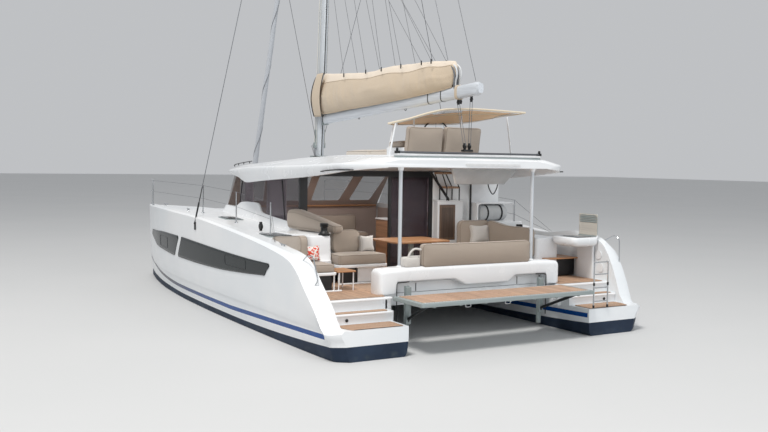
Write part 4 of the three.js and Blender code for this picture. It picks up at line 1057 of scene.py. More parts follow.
def aftBeam():
    b = beam
    ys = np.concatenate([np.linspace(-b["half"], -1.85, 8), np.linspace(-1.8, 1.8, 121),
        np.linspace(1.85, b["half"], 8)])
    (d0, d1), (d2, d3) = b["dips"]
    ramp = np.clip((ys - d0) / (d1 - d0), 0, 1) * np.clip((d3 - ys) / (d3 - d2), 0, 1)
    low = b["under"] + (b["dip"] - b["under"]) * ramp
    low = low + (b["foot"] - low) * np.clip((np.abs(ys) - 1.60) / 0.02, 0, 1)
    end = np.clip((np.abs(ys) - 1.845) / 0.08, 0, 1)
    inset = 0.08 * (1 - np.sqrt(1 - end ** 2 * 0.999))
    top = b["top"] - 0.03 * np.clip((np.abs(ys) - 1.2) / 0.7, 0, 1) ** 2 - inset * 0.7
    aft, front = b["aft"] + inset, b["front"] - inset
    r = b["corner"]
    rings = []
    for (cx, cz, start) in ((1, 1, 0), (-1, 1, 90), (-1, -1, 180), (1, -1, 270)):
        a = np.radians(start + np.linspace(0, 90, 6))[None, :]
        rr = (r if cz > 0 else 0.03)
        px = (front - rr if cx > 0 else aft + rr)[:, None] + rr * np.cos(a)
        pz = (top - rr if cz > 0 else low + rr)[:, None] + rr * np.sin(a)
        rings.append(np.stack([px, np.broadcast_to(ys[:, None], px.shape), pz], -1))
    body = skin(np.concatenate(rings, 1), wrapV=True, capU=True)
    put("aftBeam", body, "gelcoat", stands="aft_beam", sharp=50)
    sill = box((-4.945, -1.6, 0.846), (-4.77, 1.6, 1.02), "y")
    frames = [box((-4.952, y - 0.006, 0.86), (-4.944, y + 0.006, 0.995), "y") for y in (-1.58, -1.06, 1.12,
        1.58)]
    put("beamSill", sill, "gelcoat", bevel=0.008)
    # A black tube down the inner edge of each leg and under the beam is painted shadow in the gap there.
    shadowLine = tube(bent([(-5.118, 1.6, 0.3), (-5.118, 1.6, 1.04), (-5.118, 1.36, 1.047)], 0.04, 5), 0.009, 6)
    put("sillFramesAndShadowLines", [*frames, shadowLine, mirrored(shadowLine)], "black")
    arm = [tube(bent([(-5.05, 1.36, 1.26), (-5.05, 1.34, 1.49), (-5.05, 1.23, 1.6), (-5.05, 1.09, 1.57)],
        0.07, 5), 0.018, 10), tube([(-5.05, 1.345, 1.46), (-5.05, 1.12, 1.46), (-5.05, 1.13, 1.27)], 0.016,
        10)]
    put("benchArm", arm, "pillow")
    rails, posts, seats = [], [], []
    for y in (-b["rails"], b["rails"]):
        rails.append(tile((-5.17, y - 0.04, 0.15), (-5.115, y + 0.04, 0.985), 0.012, 4))
    for y in (-b["posts"], b["posts"]):
        posts.append(lathe([(1.262, 0.032), (2.955, 0.032)], (b["postX"], y, 0), "z", 20))
        seats.append(lathe([(1.255, 0.06), (1.285, 0.058), (1.30, 0.04)], (b["postX"], y, 0), "z", 20))
        seats.append(turned([(2.89, 0), (2.9, 0.045), (2.955, 0.055), (2.955, 0)], (b["postX"], y, 0), "z",
            20))
    put("liftRails", rails, "greyMetal")
    put("roofPosts", posts, "spar")
    put("postSeats", seats, "gelcoat")


aftBeam()

# Stern platform: planks across a grey aluminium frame, drain slots along both long edges
lift = dict(aft=-6.195, front=-5.3, half=1.8, top=0.86, deep=0.075, planks=24, slots=70)


def liftPlatform():
    p = lift
    rim = bent([(p["aft"], -p["half"]), (p["front"], -p["half"]), (p["front"], p["half"]),
        (p["aft"], p["half"])], 0.05, 5, closed=True)
    outer = prism(rim, "z", p["top"] - p["deep"], p["top"] - 0.008)
    put("liftFrame", outer, "greyMetal", "platform_body", "lift_platform", bevel=0.014, steps=3)
    wide = (2 * p["half"] - 0.16) / p["planks"]
    planks = [box((p["aft"] + 0.085, y + 0.005 + 0.012 * (k % 6 == 0), p["top"] - 0.012),
        (p["front"] - 0.085, y + wide - 0.005, p["top"])) for k,
        y in enumerate(-p["half"] + 0.08 + wide * np.arange(p["planks"]))]
    put("liftPlanks", planks, "liftTeak", "platform_body", bevel=0.003, steps=1)
    slots = []
    for x in (p["aft"] + 0.055, p["front"] - 0.055):
        for y in np.linspace(-p["half"] + 0.1, p["half"] - 0.1, p["slots"]):
            slots.append(box((x - 0.008, y - 0.012, p["top"] - 0.009), (x + 0.008, y + 0.012,
                p["top"] - 0.002)))
    put("liftSlots", slots, "white", "platform_body", smooth=False, slot="spar")
    ribs = [box((-6.12, y - 0.02, 0.76), (-5.34, y + 0.02, 0.80)) for y in np.linspace(-1.5, 1.5, 7)]
    arms = []
    for y in (-1.42, 1.42):
        arms.append(tile((-5.215, y - 0.05, 0.35), (-5.172, y + 0.05, 0.97), 0.01, 3))
        arms.append(box((-5.33, y - 0.03, 0.775), (-5.2, y + 0.03, 0.83)))
    put("liftCarriages", [*ribs, *arms], "greyMetal", "platform_body", bevel=0.004)
    braces = [tube([(-5.195, y, 0.4), (-5.21, y, 0.44), (-5.95, y * 1.09, 0.76), (-6.0, y * 1.1, 0.79)],
        0.026, 10) for y in (-1.42, 1.42)]
    hooks = [tube(bent([(-6.17, y - 0.05, 0.79), (-6.17, y - 0.05, 0.745), (-6.17, y + 0.05, 0.745),
        (-6.17, y + 0.05, 0.79)], 0.03, 4), 0.007, 6) for y in (-0.9, 0.1, 0.9)]
    put("liftBraces", braces, "frame", "platform_body")
    put("liftLoops", hooks, "steel", "platform_body")


liftPlatform()
print("beam and platform")


# Port cockpit moulding: the coaming carries the winch; its aft face flares to the bench
portMoulding = dict(aft=-3.45, front=-2.21, top=1.715, heights=[(0.845, 0.09), (1.26, 0.09), (1.285, 0.05),
    (1.40, 0.035), (1.52, 0.012), (1.66, 0.0), (1.70, 0.008), (1.715, 0.03)])


def portCockpit():
    m = portMoulding
    rows = []
    for z, out in m["heights"]:
        aft, inner, outer = m["aft"] - out * 0.6, 1.965, 2.42 - (1.7 - z) * 0.18 + out * 0.1
        if z > 1.69:
            aft, inner, outer = aft + out * 1.6, inner + out * 0.8, outer - out
        ring = bent([(aft, inner), (m["front"], inner), (m["front"], outer + 0.14), (-2.9, outer + 0.1),
            (aft, outer)], 0.07, 6, closed=True)
        rows.append(np.column_stack([ring, np.full(len(ring), z)]))
    coaming = skin(np.array(rows), wrapV=True, capU=True)
    put("coamingPort", coaming, "gelcoat", stands="cockpit_moulding_port", sharp=40)
    # Lounge and bench bases: white shelves on thin legs over dark lockers
    shelves = [tile((-3.745, 0.955, 1.145), (-3.08, 1.965, 1.2), 0.06), tile((-4.45, 2.36, 1.13),
        (-3.46, 2.99, 1.18), 0.06), box((-3.2, 1.0, 0.845), (-3.09, 1.95, 1.15)), box((-3.7, 1.0, 0.845),
        (-3.1, 1.04, 1.15)), box((-4.4, 2.9, 0.845), (-3.47, 2.99, 1.14)), box((-3.56, 2.3, 0.845),
        (-3.47, 2.95, 1.14))]
    legs = [box((x - 0.014, y - 0.014, 0.845), (x + 0.014, y + 0.014, 1.15)) for x,
        y in ((-3.70, 1.02), (-3.70, 1.93), (-4.40, 2.40), (-4.40, 2.85), (-3.95, 2.40))]
    sills = [box((-3.72, 1.0, 0.845), (-3.68, 1.95, 0.875)), box((-4.42, 2.25, 0.845), (-4.38, 2.88, 0.875))]
    shelves.append(tile((-3.2, 1.33, 0.845), (-2.21, 1.965, 1.716), 0.08))
    shelves.append(box((-3.12, 2.40, 0.845), (-2.15, 3.03, 1.668)))
    put("seatBasesPort", [*shelves, *legs, *sills], "gelcoat", bevel=0.012, steps=3)
    doors = [box((-3.66, 1.56, 0.88), (-3.645, 1.92, 1.14)), box((-4.37, 2.42, 0.88), (-4.355, 2.84, 1.12))]
    put("loungePanel", box((-3.67, 1.06, 0.875), (-3.64, 1.54, 1.146)), "gelcoat", bevel=0.008)
    put("seatLockersPort", doors, "frame", bevel=0.004)
    table = tile((-4.42, 1.98, 1.165), (-3.95, 2.34, 1.19), 0.03)
    tableLegs = [tube([(x, y, 0.852), (x, y, 1.17)], 0.012, 8) for x, y in ((-4.38, 2.02), (-4.38, 2.3),
        (-3.99, 2.02), (-3.99, 2.3))]
    put("sideTableTop", table, "wood", bevel=0.006)
    put("sideTableLegs", tableLegs, "gelcoat")


portCockpit()


def winch(centre, name, size=1.0):
    # Base, waisted drum and self-tailing crown: profile of height and radius
    prof = np.array([(0, 0.0), (0, 0.082), (0.018, 0.082), (0.026, 0.07), (0.045, 0.062), (0.055, 0.05),
        (0.075, 0.043), (0.11, 0.045), (0.122, 0.055), (0.127, 0.062), (0.139, 0.066), (0.145, 0.055),
        (0.15, 0.058), (0.16, 0.064), (0.17, 0.06), (0.176, 0.04), (0.176, 0.0)]) * size
    grips = [box((centre[0] + 0.043 * size * math.cos(a) - 0.006, centre[1] + 0.043 * size * math.sin(a)
        - 0.006, centre[2] + 0.06 * size), (centre[0] + 0.043 * size * math.cos(a) + 0.006,
        centre[1] + 0.043 * size * math.sin(a) + 0.006, centre[2] + 0.115 * size)) for a in np.linspace(0,
        2 * np.pi, 10, endpoint=False)]
    put(name, [turned(prof, centre, "z", 32), *grips], "black")


winch((-3.36, 2.07, 1.712), "winchPort", 1.25)
winch((-3.3, -2.42, 1.615), "winchStarboard", 1.1)


def starboardCockpit():
    # Coaming, sofa bases and stair tower, with the canister, its straps and its niche
    coaming = tile((-4.35, -2.56, 0.845), (-2.21, -2.0, 1.62), 0.08)
    sofa = merged(box((-4.35, -2.01, 0.845), (-2.76, -1.38, 1.2)), box((-2.9, -2.01, 0.845),
        (-2.39, -1.25, 1.2)))
    tower = tile((-2.70, -2.995, 0.845), (-2.21, -1.64, 1.82), 0.05)
    hood = [box((-2.56, -2.86, 1.8), (-2.22, -1.86, 1.83)), tile((-2.56, -1.92, 1.8), (-2.22, -1.88, 2.2),
        0.01), box((-2.26, -2.84, 1.81), (-2.22, -1.9, 2.22)), box((-2.56, -2.84, 2.19),
        (-2.22, -1.88, 2.215))]
    can = cylinderX((-2.42, -2.34, 2.0), 0.165, 0.78)
    cap = tube(bent([(-2.56, -1.9, 1.83), (-2.56, -1.9, 2.205), (-2.56, -2.86, 2.205), (-2.56, -2.86, 1.83)],
        0.1, 6), 0.02, 10)
    put("coamingStarboard", [coaming, sofa, tower], "gelcoat", stands="cockpit_moulding_starboard",
        bevel=0.02, steps=3)
    put("raftNiche", [*hood, cap], "gelcoat", bevel=0.008)
    # The canister is white; its pale grey is painted shade of the niche round it.
    put("raftCanister", can, "greyMoulding")
    straps = [ringBand((-2.42, y, 2.0), 0.169, 0.02) for y in (-2.16, -2.52)]
    put("raftStraps", straps, "black")


def cylinderX(centre, radius, length):
    # Lying canister with domed ends, along the boat's beam
    s = np.linspace(-0.5, 0.5, 29)
    r = radius * (1 - np.clip((np.abs(s) - 0.38) / 0.12, 0, 1) ** 2.4 * 0.96)
    r = r + 0.006 * (np.abs(s) < 0.015)
    return turned(np.column_stack([s * length, r]), centre, "y", 32)


def ringBand(centre, radius, wide):
    a = np.linspace(0, 2 * np.pi, 40, endpoint=False)
    rings = []
    for dy, r in ((-wide, radius), (wide, radius), (wide, radius + 0.004), (-wide, radius + 0.004)):
        rings.append(np.stack([centre[0] + r * np.cos(a), np.full_like(a, centre[1] + dy),
            centre[2] + r * np.sin(a)], -1))
    return skin(np.array(rings), wrapU=True, wrapV=True)


starboardCockpit()


def cabinetAndSteps():
    # Cabinet shell with its latch, the open steps to the helm and the handrail above them
    shell = [box((-2.4, -1.06, 0.845), (-2.21, -1.012, 2.26)), box((-2.4, -1.64, 0.845),
        (-2.21, -1.45, 2.26)), box((-2.4, -1.46, 0.845), (-2.21, -1.05, 1.445)), box((-2.4, -1.46, 2.175),
        (-2.21, -1.05, 2.26)), box((-2.25, -1.5, 1.4), (-2.21, -1.03, 2.2)), box((-2.42, -1.655, 2.25),
        (-2.205, -1.0, 2.275))]
    shell = merged(*shell)
    put("cabinetShell", shell, "gelcoat", bevel=0.008, steps=3)
    latch = merged(lathe([(0, 0.024), (-0.006, 0.026), (-0.009, 0.015)], (-2.4, -1.25, 1.98), "x", 20),
        tile((-2.4035, -1.4, 1.5), (-2.4, -1.11, 2.12), 0.02, axis="x"))
    put("cabinetLatch", latch, "doorPanel", "cabinet_door_body", bevel=0.001, steps=1)
    panels = [box((-2.235, -1.96, 0.845), (-2.205, -1.0, 2.84)), box((-2.3, -2.64, 2.2), (-2.21, -1.9, 2.6))]
    put("stairPanels", panels, "gelcoat", bevel=0.01, steps=3)
    treads = [tile((-2.54, -1.47, 2.515), (-2.24, -1.12, 2.555), 0.03), tile((-2.85, -1.10, 2.81),
        (-2.55, -0.80, 2.85), 0.03)]
    put("helmTreads", treads, "teak", bevel=0.006)
    posts = []
    for dx in (-0.26, 0.0):
        posts.append(tube([(-2.27 + dx, -1.45, 2.27), (-2.27 + dx, -1.45, 2.53), (-2.56 + dx, -1.08, 2.83)],
            0.013, 8))
        posts.append(tube([(-2.27 + dx, -1.14, 2.27), (-2.27 + dx, -1.14, 2.53), (-2.56 + dx, -0.82, 2.83)],
            0.013, 8))
    rail = [tube(bent([(-2.3, -1.30, 2.25), (-2.43, -1.26, 2.28), (-2.43, -0.76, 2.9), (-2.3, -0.74, 2.94)],
        0.05, 4), 0.026, 10)]
    mast = [tube([(-2.4, -1.83, 1.83), (-2.4, -1.83, 2.86)], 0.022, 12),
        tube(bent([(-2.6, -2.13, 2.8), (-2.6, -2.13, 2.55), (-2.6, -2.26, 2.36), (-2.6, -2.38, 2.55),
        (-2.6, -2.38, 2.8)], 0.09, 6), 0.012, 8)]
    put("stairTubes", [*posts, *rail, *mast], "frame")


cabinetAndSteps()
print("cockpit mouldings")

# Outdoor counter with a rounded underside and a hob beside the grill
counter = dict(aft=-5.02, front=-4.35, inside=-2.35, outside=-2.995, top=1.655)


def galleyCounter():
    c = counter
    rows = []
    for z, cut in ((1.478, 0.15), (1.484, 0.09), (1.50, 0.045), (1.53, 0.015), (1.57, 0.0), (1.63, 0.0),
            (1.65, 0.008), (1.658, 0.025)):
        ring = bent([(c["aft"] + cut, c["outside"]), (c["front"] - cut, c["outside"]),
            (c["front"] - cut, c["inside"] - cut), (c["aft"] + cut, c["inside"] - cut)], 0.12, 7, closed=True)
        rows.append(np.column_stack([ring, np.full(len(ring), z)]))
    top = skin(np.array(rows), wrapV=True, capU=True)
    foot = tile((-4.9, -2.99, 0.845), (-4.45, -2.93, 1.5), 0.025)
    lugs = [box((-5.008, -2.968, 1.64), (-4.9903, -2.932, 1.687)), box((-4.4797, -2.968, 1.64),
        (-4.462, -2.932, 1.687))]
    put("counterTop", top, "gelcoat", stands="galley_counter", sharp=45)
    put("counterFoot", [foot, *lugs], "gelcoat", bevel=0.006)
    hob = tile((-4.97, -2.9, 1.652), (-4.47, -2.47, 1.660), 0.03)
    bars = [tube([(x, -2.86, 1.667), (x, -2.52, 1.667)], 0.005, 6) for x in np.linspace(-4.92, -4.52, 15)]
    put("grillPan", hob, "black", bevel=0.003)
    put("grillBars", bars, "steel")
    # Locker under the wing with a teak step over it
    locker = box((-4.34, -2.98, 0.87), (-3.9, -2.3, 1.2))
    shelf = tile((-4.5, -2.95, 1.205), (-3.85, -2.15, 1.23), 0.03)
    dents = [turned([(-2.997, 0.0), (-2.997, 0.085), (-2.985, 0.085), (-2.985, 0.075), (-2.99, 0.0)],
        (x, 0, z), "y", 28) for x, z in ((-5.06, 1.08), (-5.0, 1.32))]
    put("wingRounds", dents, "gelcoat")
    put("wingLocker", locker, "frame", bevel=0.006)
    put("wingShelf", shelf, "wood", bevel=0.006)


# Grill lid: middle and half width, its face and how far that bulges, its height; its ends, the rim's corners
# in x and z, the ribs' number, lowest edge and spacing
grill = dict(x=-4.735, half=0.25, face=-2.957, bulge=0.014, foot=1.674, height=0.416, ends=(-4.985, -4.485),
    rim=((-4.985, 1.70), (-4.985, 2.09), (-4.485, 2.09), (-4.485, 1.70)), ribs=5, rib=1.93, spacing=0.032)


def grillLid():
    # Shallow pressed lid standing open on its hinge, with a rim round it and ribs across its upper part
    g = grill
    uu, vv = np.meshgrid(np.linspace(-1, 1, 21), np.linspace(0, 1, 13), indexing="ij")
    edge = np.clip((1 - np.abs(uu)) / 0.12, 0, 1) * np.clip((1 - vv) / 0.16, 0, 1) * np.clip(vv / 0.1, 0, 1)
    shape = np.stack([g["x"] + g["half"] * uu, g["face"] - g["bulge"] * np.sin(np.pi / 2 * np.clip(edge, 0,
        1)), g["foot"] + g["height"] * vv], -1)
    put("grillLidShell", skin(shape), "lid", "grill_lid_body", "grill_lid", slot="steel", wall=0.004)
    knuckle = lathe([(x, 0.012) for x in g["ends"]], (0, -2.95, 1.672), "x", 14)
    rim = tube(bent([(x, -2.963, z) for x, z in g["rim"]], 0.04, 5), 0.006, 6)
    crest = [roundBox((-4.98, -2.972, g["rib"] + g["spacing"] * k), (-4.49, -2.957, 1.955 + g["spacing"] * k),
        0.01, 2) for k in range(g["ribs"])]
    put("grillLidRim", [knuckle, rim, *crest], "greyMetal", "grill_lid_body", slot="steel")


galleyCounter()
grillLid()
print("counter and grill")


def tilted(points, axis, degrees, about):
    # Turned about a line along one axis
    i, j = {"x": (1, 2), "y": (2, 0), "z": (0, 1)}[axis]
    a, p = math.radians(degrees), np.array(points, float)
    u, v = p[:, i] - about[0], p[:, j] - about[1]
    p[:, i] = about[0] + u * math.cos(a) - v * math.sin(a)
    p[:, j] = about[1] + u * math.sin(a) + v * math.cos(a)
    return p


# Cushions: roll is the edge's radius, plan the corner's radius seen flat, crown the swell of the big faces
cushionForm = dict(roll=0.034, plan=0.07, crown=0.012, pull=0.009, gather=0.0022, cell=0.034, piping=0.0065,
    cap=0.024)
# The cloth run over all cushions: its frames, the pressure and the share of its shift that is used
padRun = dict(frames=20, quality=5, mass=0.35, stretch=12, shear=5, bending=0.8, pressure=4, share=0.8)
pads = []


def addPad(name, stands, low, high, body="craft", fabric="cushion", piping="cushionDark", turn=None,
        rise=None, fill=0.8, **form):
    # A rounded box in six grids whose rows crowd through the rolled edges; the two big faces' rims carry
    # piping
    c = dict(cushionForm, **form)
    low, high = np.asarray(low, float), np.asarray(high, float)
    half, mid = (high - low) / 2, (high + low) / 2
    thin = int(np.argmin(half))
    a, b = [k for k in range(3) if k != thin]
    roll = min(c["roll"], half[thin] * 0.85)
    core = half - roll
    rim = roll * np.tan(np.radians([15.0, 30.0, 45.0]))
    lines = []
    for size in core:
        inner = np.linspace(-size, size, max(3, int(round(2 * size / c["cell"])) + 1))
        lines.append(np.concatenate([-size - rim[::-1], inner, size + rim]))

    def settle(p):
        # Flat corners: the square ring round a corner becomes an arc; then crown, puckers and drawn-in sides
        p, plan = p.copy(), min(c["plan"], half[a] * 0.9, half[b] * 0.9)
        inner = np.array([half[a], half[b]]) - plan
        near = np.clip(p[:, [a, b]], -inner, inner)
        out = p[:, [a, b]] - near
        square, length = np.abs(out).max(1), np.linalg.norm(out, axis=1)
        p[:, [a, b]] = near + out * (square / np.maximum(length, 1e-9))[:, None]
        s = np.clip(p / half, -1, 1)
        p[:, thin] += c["crown"] * s[:, thin] * (1 - np.abs(s[:, a]) ** 3) * (1 - np.abs(s[:, b]) ** 3)
        fade = [np.exp(-(half[k] - np.abs(p[:, k])).clip(0) / 0.035) for k in (a, b)]
        p[:, thin] += c["gather"] * s[:, thin] * (np.sin(p[:, a] * 52) * fade[1] + np.sin(p[:, b] * 52)
            * fade[0])
        p[:, a] -= c["pull"] * s[:, a] ** 3 * (1 - s[:, b] ** 2)
        p[:, b] -= c["pull"] * s[:, b] ** 3 * (1 - s[:, a] ** 2)
        p += mid
        if rise is not None:  # height grows along x from the second value's place to the third's
            gain, x0, x1 = rise
            p[:, 2] += gain * np.clip((p[:, 0] - x0) / (x1 - x0), 0,
                1) * (p[:, 2] - low[2]) / (high[2] - low[2])
        return p if turn is None else tilted(p, *turn)

    shapes, held = [], []
    for k in range(3):
        i, j = (k + 1) % 3, (k + 2) % 3
        for sign in (-1, 1):
            u, v = np.meshgrid(lines[i], lines[j], indexing="ij")
            p = np.zeros(u.shape + (3,))
            p[..., i], p[..., j], p[..., k] = u, v, sign * half[k]
            near = np.clip(p, -core, core)
            out = p - near
            q = near + out / np.linalg.norm(out, axis=-1, keepdims=True) * roll
            edge = np.zeros(u.shape, bool)
            if k == thin:
                edge[[0, -1]] = True
                edge[:, [0, -1]] = True
            shapes.append(skin(q if sign > 0 else q[::-1]))
            held.append((edge if sign > 0 else edge[::-1]).ravel())
    verts, faces = merged(*shapes)
    first, back = np.unique(np.round(verts, 5), axis=0, return_index=True, return_inverse=True)[1:]
    faces = back.ravel()[np.array(faces)].tolist()
    fixed = np.zeros(len(first), bool)
    np.logical_or.at(fixed, back.ravel(), np.concatenate(held))
    at = core + roll * 0.7071
    sweep = [np.linspace(-at[k], at[k], max(8, int(at[k] / 0.025))) for k in (a, b)]
    seams = []
    for sign in (-1, 1):
        ring = [(x, -at[b]) for x in sweep[0][:-1]] + [(at[a], y) for y in sweep[1][:-1]]
        ring = np.array(ring + [(-x, at[b]) for x in sweep[0][:-1]] + [(-at[a], -y) for y in sweep[1][:-1]])
        path = np.zeros((len(ring), 3))
        path[:, a], path[:, b], path[:, thin] = ring[:, 0], ring[:, 1], sign * at[thin]
        seams.append(tube(settle(path), c["piping"], 6, wrap=True))
    pads.append(dict(name=name, stands=stands, verts=settle(verts[first]), faces=faces, fixed=fixed,
        seams=seams, body=body, fabric=fabric, piping=piping, fill=fill))


def inflate():
    # Cloth under air pressure, held along the piping; no point moves farther than the cap
    verts, faces = merged(*((p["verts"], p["faces"]) for p in pads))
    mesh = bpy.data.meshes.new("padTrial")
    mesh.from_pydata(verts.tolist(), [], faces)
    bm = bmesh.new()
    bm.from_mesh(mesh)
    bmesh.ops.recalc_face_normals(bm, faces=bm.faces)
    bm.to_mesh(mesh)
    bm.free()
    trial = bpy.data.objects.new("padTrial", mesh)
    scene.collection.objects.link(trial)
    group = trial.vertex_groups.new(name="held")
    group.add(np.flatnonzero(np.concatenate([p["fixed"] for p in pads])).tolist(), 1.0, "REPLACE")
    cloth = trial.modifiers.new("cloth", "CLOTH")
    s, run = cloth.settings, padRun
    s.quality, s.mass, s.shear_stiffness, s.bending_stiffness = (run[k] for k in ("quality", "mass", "shear",
        "bending"))
    s.tension_stiffness = s.compression_stiffness = run["stretch"]
    s.use_pressure, s.uniform_pressure_force = True, run["pressure"]
    s.vertex_group_mass, s.effector_weights.gravity = "held", 0
    cloth.collision_settings.use_collision = False
    cloth.point_cache.frame_start, cloth.point_cache.frame_end = 1, run["frames"]
    for k in range(1, run["frames"] + 1):
        scene.frame_set(k)
    settled = trial.evaluated_get(bpy.context.evaluated_depsgraph_get()).to_mesh()
    there = np.zeros(len(verts) * 3)
    settled.vertices.foreach_get("co", there)
    shift = there.reshape(-1, 3) - verts
    size = np.linalg.norm(shift, axis=1, keepdims=True)
    print("cushions moved by at most", round(float(size.max()), 3), "m before the cap")
    verts = verts + shift * np.minimum(1, cushionForm["cap"] / np.maximum(size, 1e-9)) * run["share"]
    bpy.data.objects.remove(trial)
    scene.frame_set(1)
    start = 0
    for p in pads:
        p["verts"] = verts[start:start + len(p["verts"])]
        start += len(p["verts"])


def makePads():
    inflate()
    for p in pads:
        piece = make(p["name"], (p["verts"], p["faces"]), paint[p["fabric"]], p["body"], p["stands"],
            subdivide=1, weld=False)
        piece.data.shade_smooth()
        piece or piece
        put(p["name"] + "Seams", p["seams"], p["piping"], p["body"], slot="cushion")


# Helm: two seats, two backs that lean aft over the bench's edge
addPad("helmSeatPort", "helm_cushions", (-4.17, 0.14, 3.303), (-3.73, 0.99, 3.40))
addPad("helmSeatStarboard", "helm_cushions", (-4.17, -0.73, 3.303), (-3.73, 0.12, 3.40))
for name, y0, y1, top in (("helmBackPort", 0.285, 1.02, 3.675), ("helmBackStarboard", -0.53, 0.24, 3.69)):
    addPad(name, "helm_cushions", (-4.435, y0, 3.212), (-4.315, y1, top), turn=("y", -9, (3.215, -4.33)),
        plan=0.05)
addPad("roofPadAft", "roof_pad", (-3.50, 0.08, 3.14), (-2.60, 0.74, 3.25), fabric="padFabric")
addPad("roofPadFront", "roof_pad", (-2.58, 0.08, 3.135), (-1.62, 0.74, 3.245), fabric="padFabric")
# Port lounge, the pad on the coaming and the bench against the wing
addPad("loungeSeat", "lounge_cushions", (-3.735, 0.965, 1.202), (-3.215, 1.95, 1.375))
addPad("loungeBack", "lounge_cushions", (-3.345, 1.30, 1.365), (-3.215, 1.88, 1.80),
    turn=("y", 4, (1.37, -3.25)), plan=0.13)
addPad("coamingPad", "lounge_cushions", (-3.46, 1.80, 1.755), (-1.84, 2.03, 1.875),
    rise=(0.215, -3.46, -2.15), roll=0.05, turn=("z", 8, (-2.7, 1.92)))
addPad("setteeSeatFront", "saloon_furniture", (0.77, -1.2, 1.272), (1.36, 1.46, 1.38), cell=0.07)
addPad("setteeSeatPort", "saloon_furniture", (-0.18, 0.92, 1.272), (0.75, 1.46, 1.38), cell=0.07)
addPad("setteeBack", "saloon_furniture", (1.37, -1.18, 1.385), (1.49, 1.42, 1.76), cell=0.07)
addPad("setteeBackPort", "saloon_furniture", (-0.15, 1.47, 1.385), (1.3, 1.58, 1.76), cell=0.07)
addPad("loungePillow", "lounge_cushions", (-3.46, 1.06, 1.38), (-3.34, 1.37, 1.70), fabric="pillow",
    piping="pillow", turn=("y", 12, (1.38, -3.4)), plan=0.02, roll=0.05, pull=0.03, crown=0.03, fill=0.6)
addPad("benchPillow", "bench_cushions", (-4.14, 2.50, 1.325), (-4.01, 2.84, 1.62), fabric="coral",
    piping="pillow", turn=("y", 10, (1.325, -4.08)), plan=0.02, roll=0.05, pull=0.03, crown=0.03, fill=0.6)
addPad("endCushion", "aft_bench_back", (-5.08, 1.12, 1.275), (-4.94, 1.44, 1.46), fabric="pillow",
    piping="pillow", plan=0.06)
addPad("benchSeat", "bench_cushions", (-4.435, 2.385, 1.183), (-3.48, 2.84, 1.315))
addPad("benchBack", "bench_cushions", (-4.33, 2.85, 1.25), (-3.12, 2.985, 1.80), rise=(-0.1, -4.2, -3.12),
    plan=0.12)
# Starboard sofa
addPad("sofaSeatAft", "sofa_cushions", (-4.32, -1.87, 1.203), (-3.56, -1.385, 1.335))
addPad("sofaSeatFront", "sofa_cushions", (-3.54, -1.87, 1.203), (-2.90, -1.385, 1.335))
addPad("sofaSide", "sofa_cushions", (-4.31, -1.995, 1.21), (-2.91, -1.875, 1.815), rise=(0.075, -3.5, -2.95),
    plan=0.12)
addPad("sofaEnd", "sofa_cushions", (-2.895, -1.98, 1.21), (-2.765, -1.225, 1.885), plan=0.13)
addPad("sofaPillow", "sofa_cushions", (-3.06, -1.90, 1.41), (-2.93, -1.43, 1.80), fabric="pillow",
    piping="pillow", turn=("y", 10, (1.41, -2.99)), plan=0.02, roll=0.055, pull=0.035, crown=0.03, fill=0.6)
addPad("aftBenchBack", "aft_bench_back", (-5.10, -1.235, 1.268), (-4.97, 1.085, 1.665), plan=0.07)
makePads()
print("cushions")

# Helm awning: aft edge and forward edge as share along, y, z; x of the two edges; the window's corners as
# shares
awning = dict(aft=[(0, 1.37, 3.70), (0.15, 0.93, 3.80), (0.3, 0.5, 3.92), (0.45, 0.08, 4.0),
    (0.65, -0.53, 4.025), (1, -1.62, 4.0)], front=[(0, 0.34, 3.765), (0.25, -0.3, 3.785), (0.5, -0.95, 3.81),
    (0.75, -1.62, 3.89), (1, -2.15, 3.99)], xs=(-4.38, -2.78), hem=0.018, window=((0.12, 0.33), (0.36, 0.56)),
    poles=[((-4.37, 1.22, 3.705), (-4.37, 1.35, 3.08)), ((-3.62, 0.37, 3.88), (-3.62, 0.36, 3.14)),
    ((-3.62, -0.70, 3.935), (-3.62, -0.68, 3.14)), ((-2.84, 0.33, 3.765), (-2.84, 0.47, 3.12)),
    ((-3.3, -2.04, 3.98), (-3.3, -2.2, 3.0))])


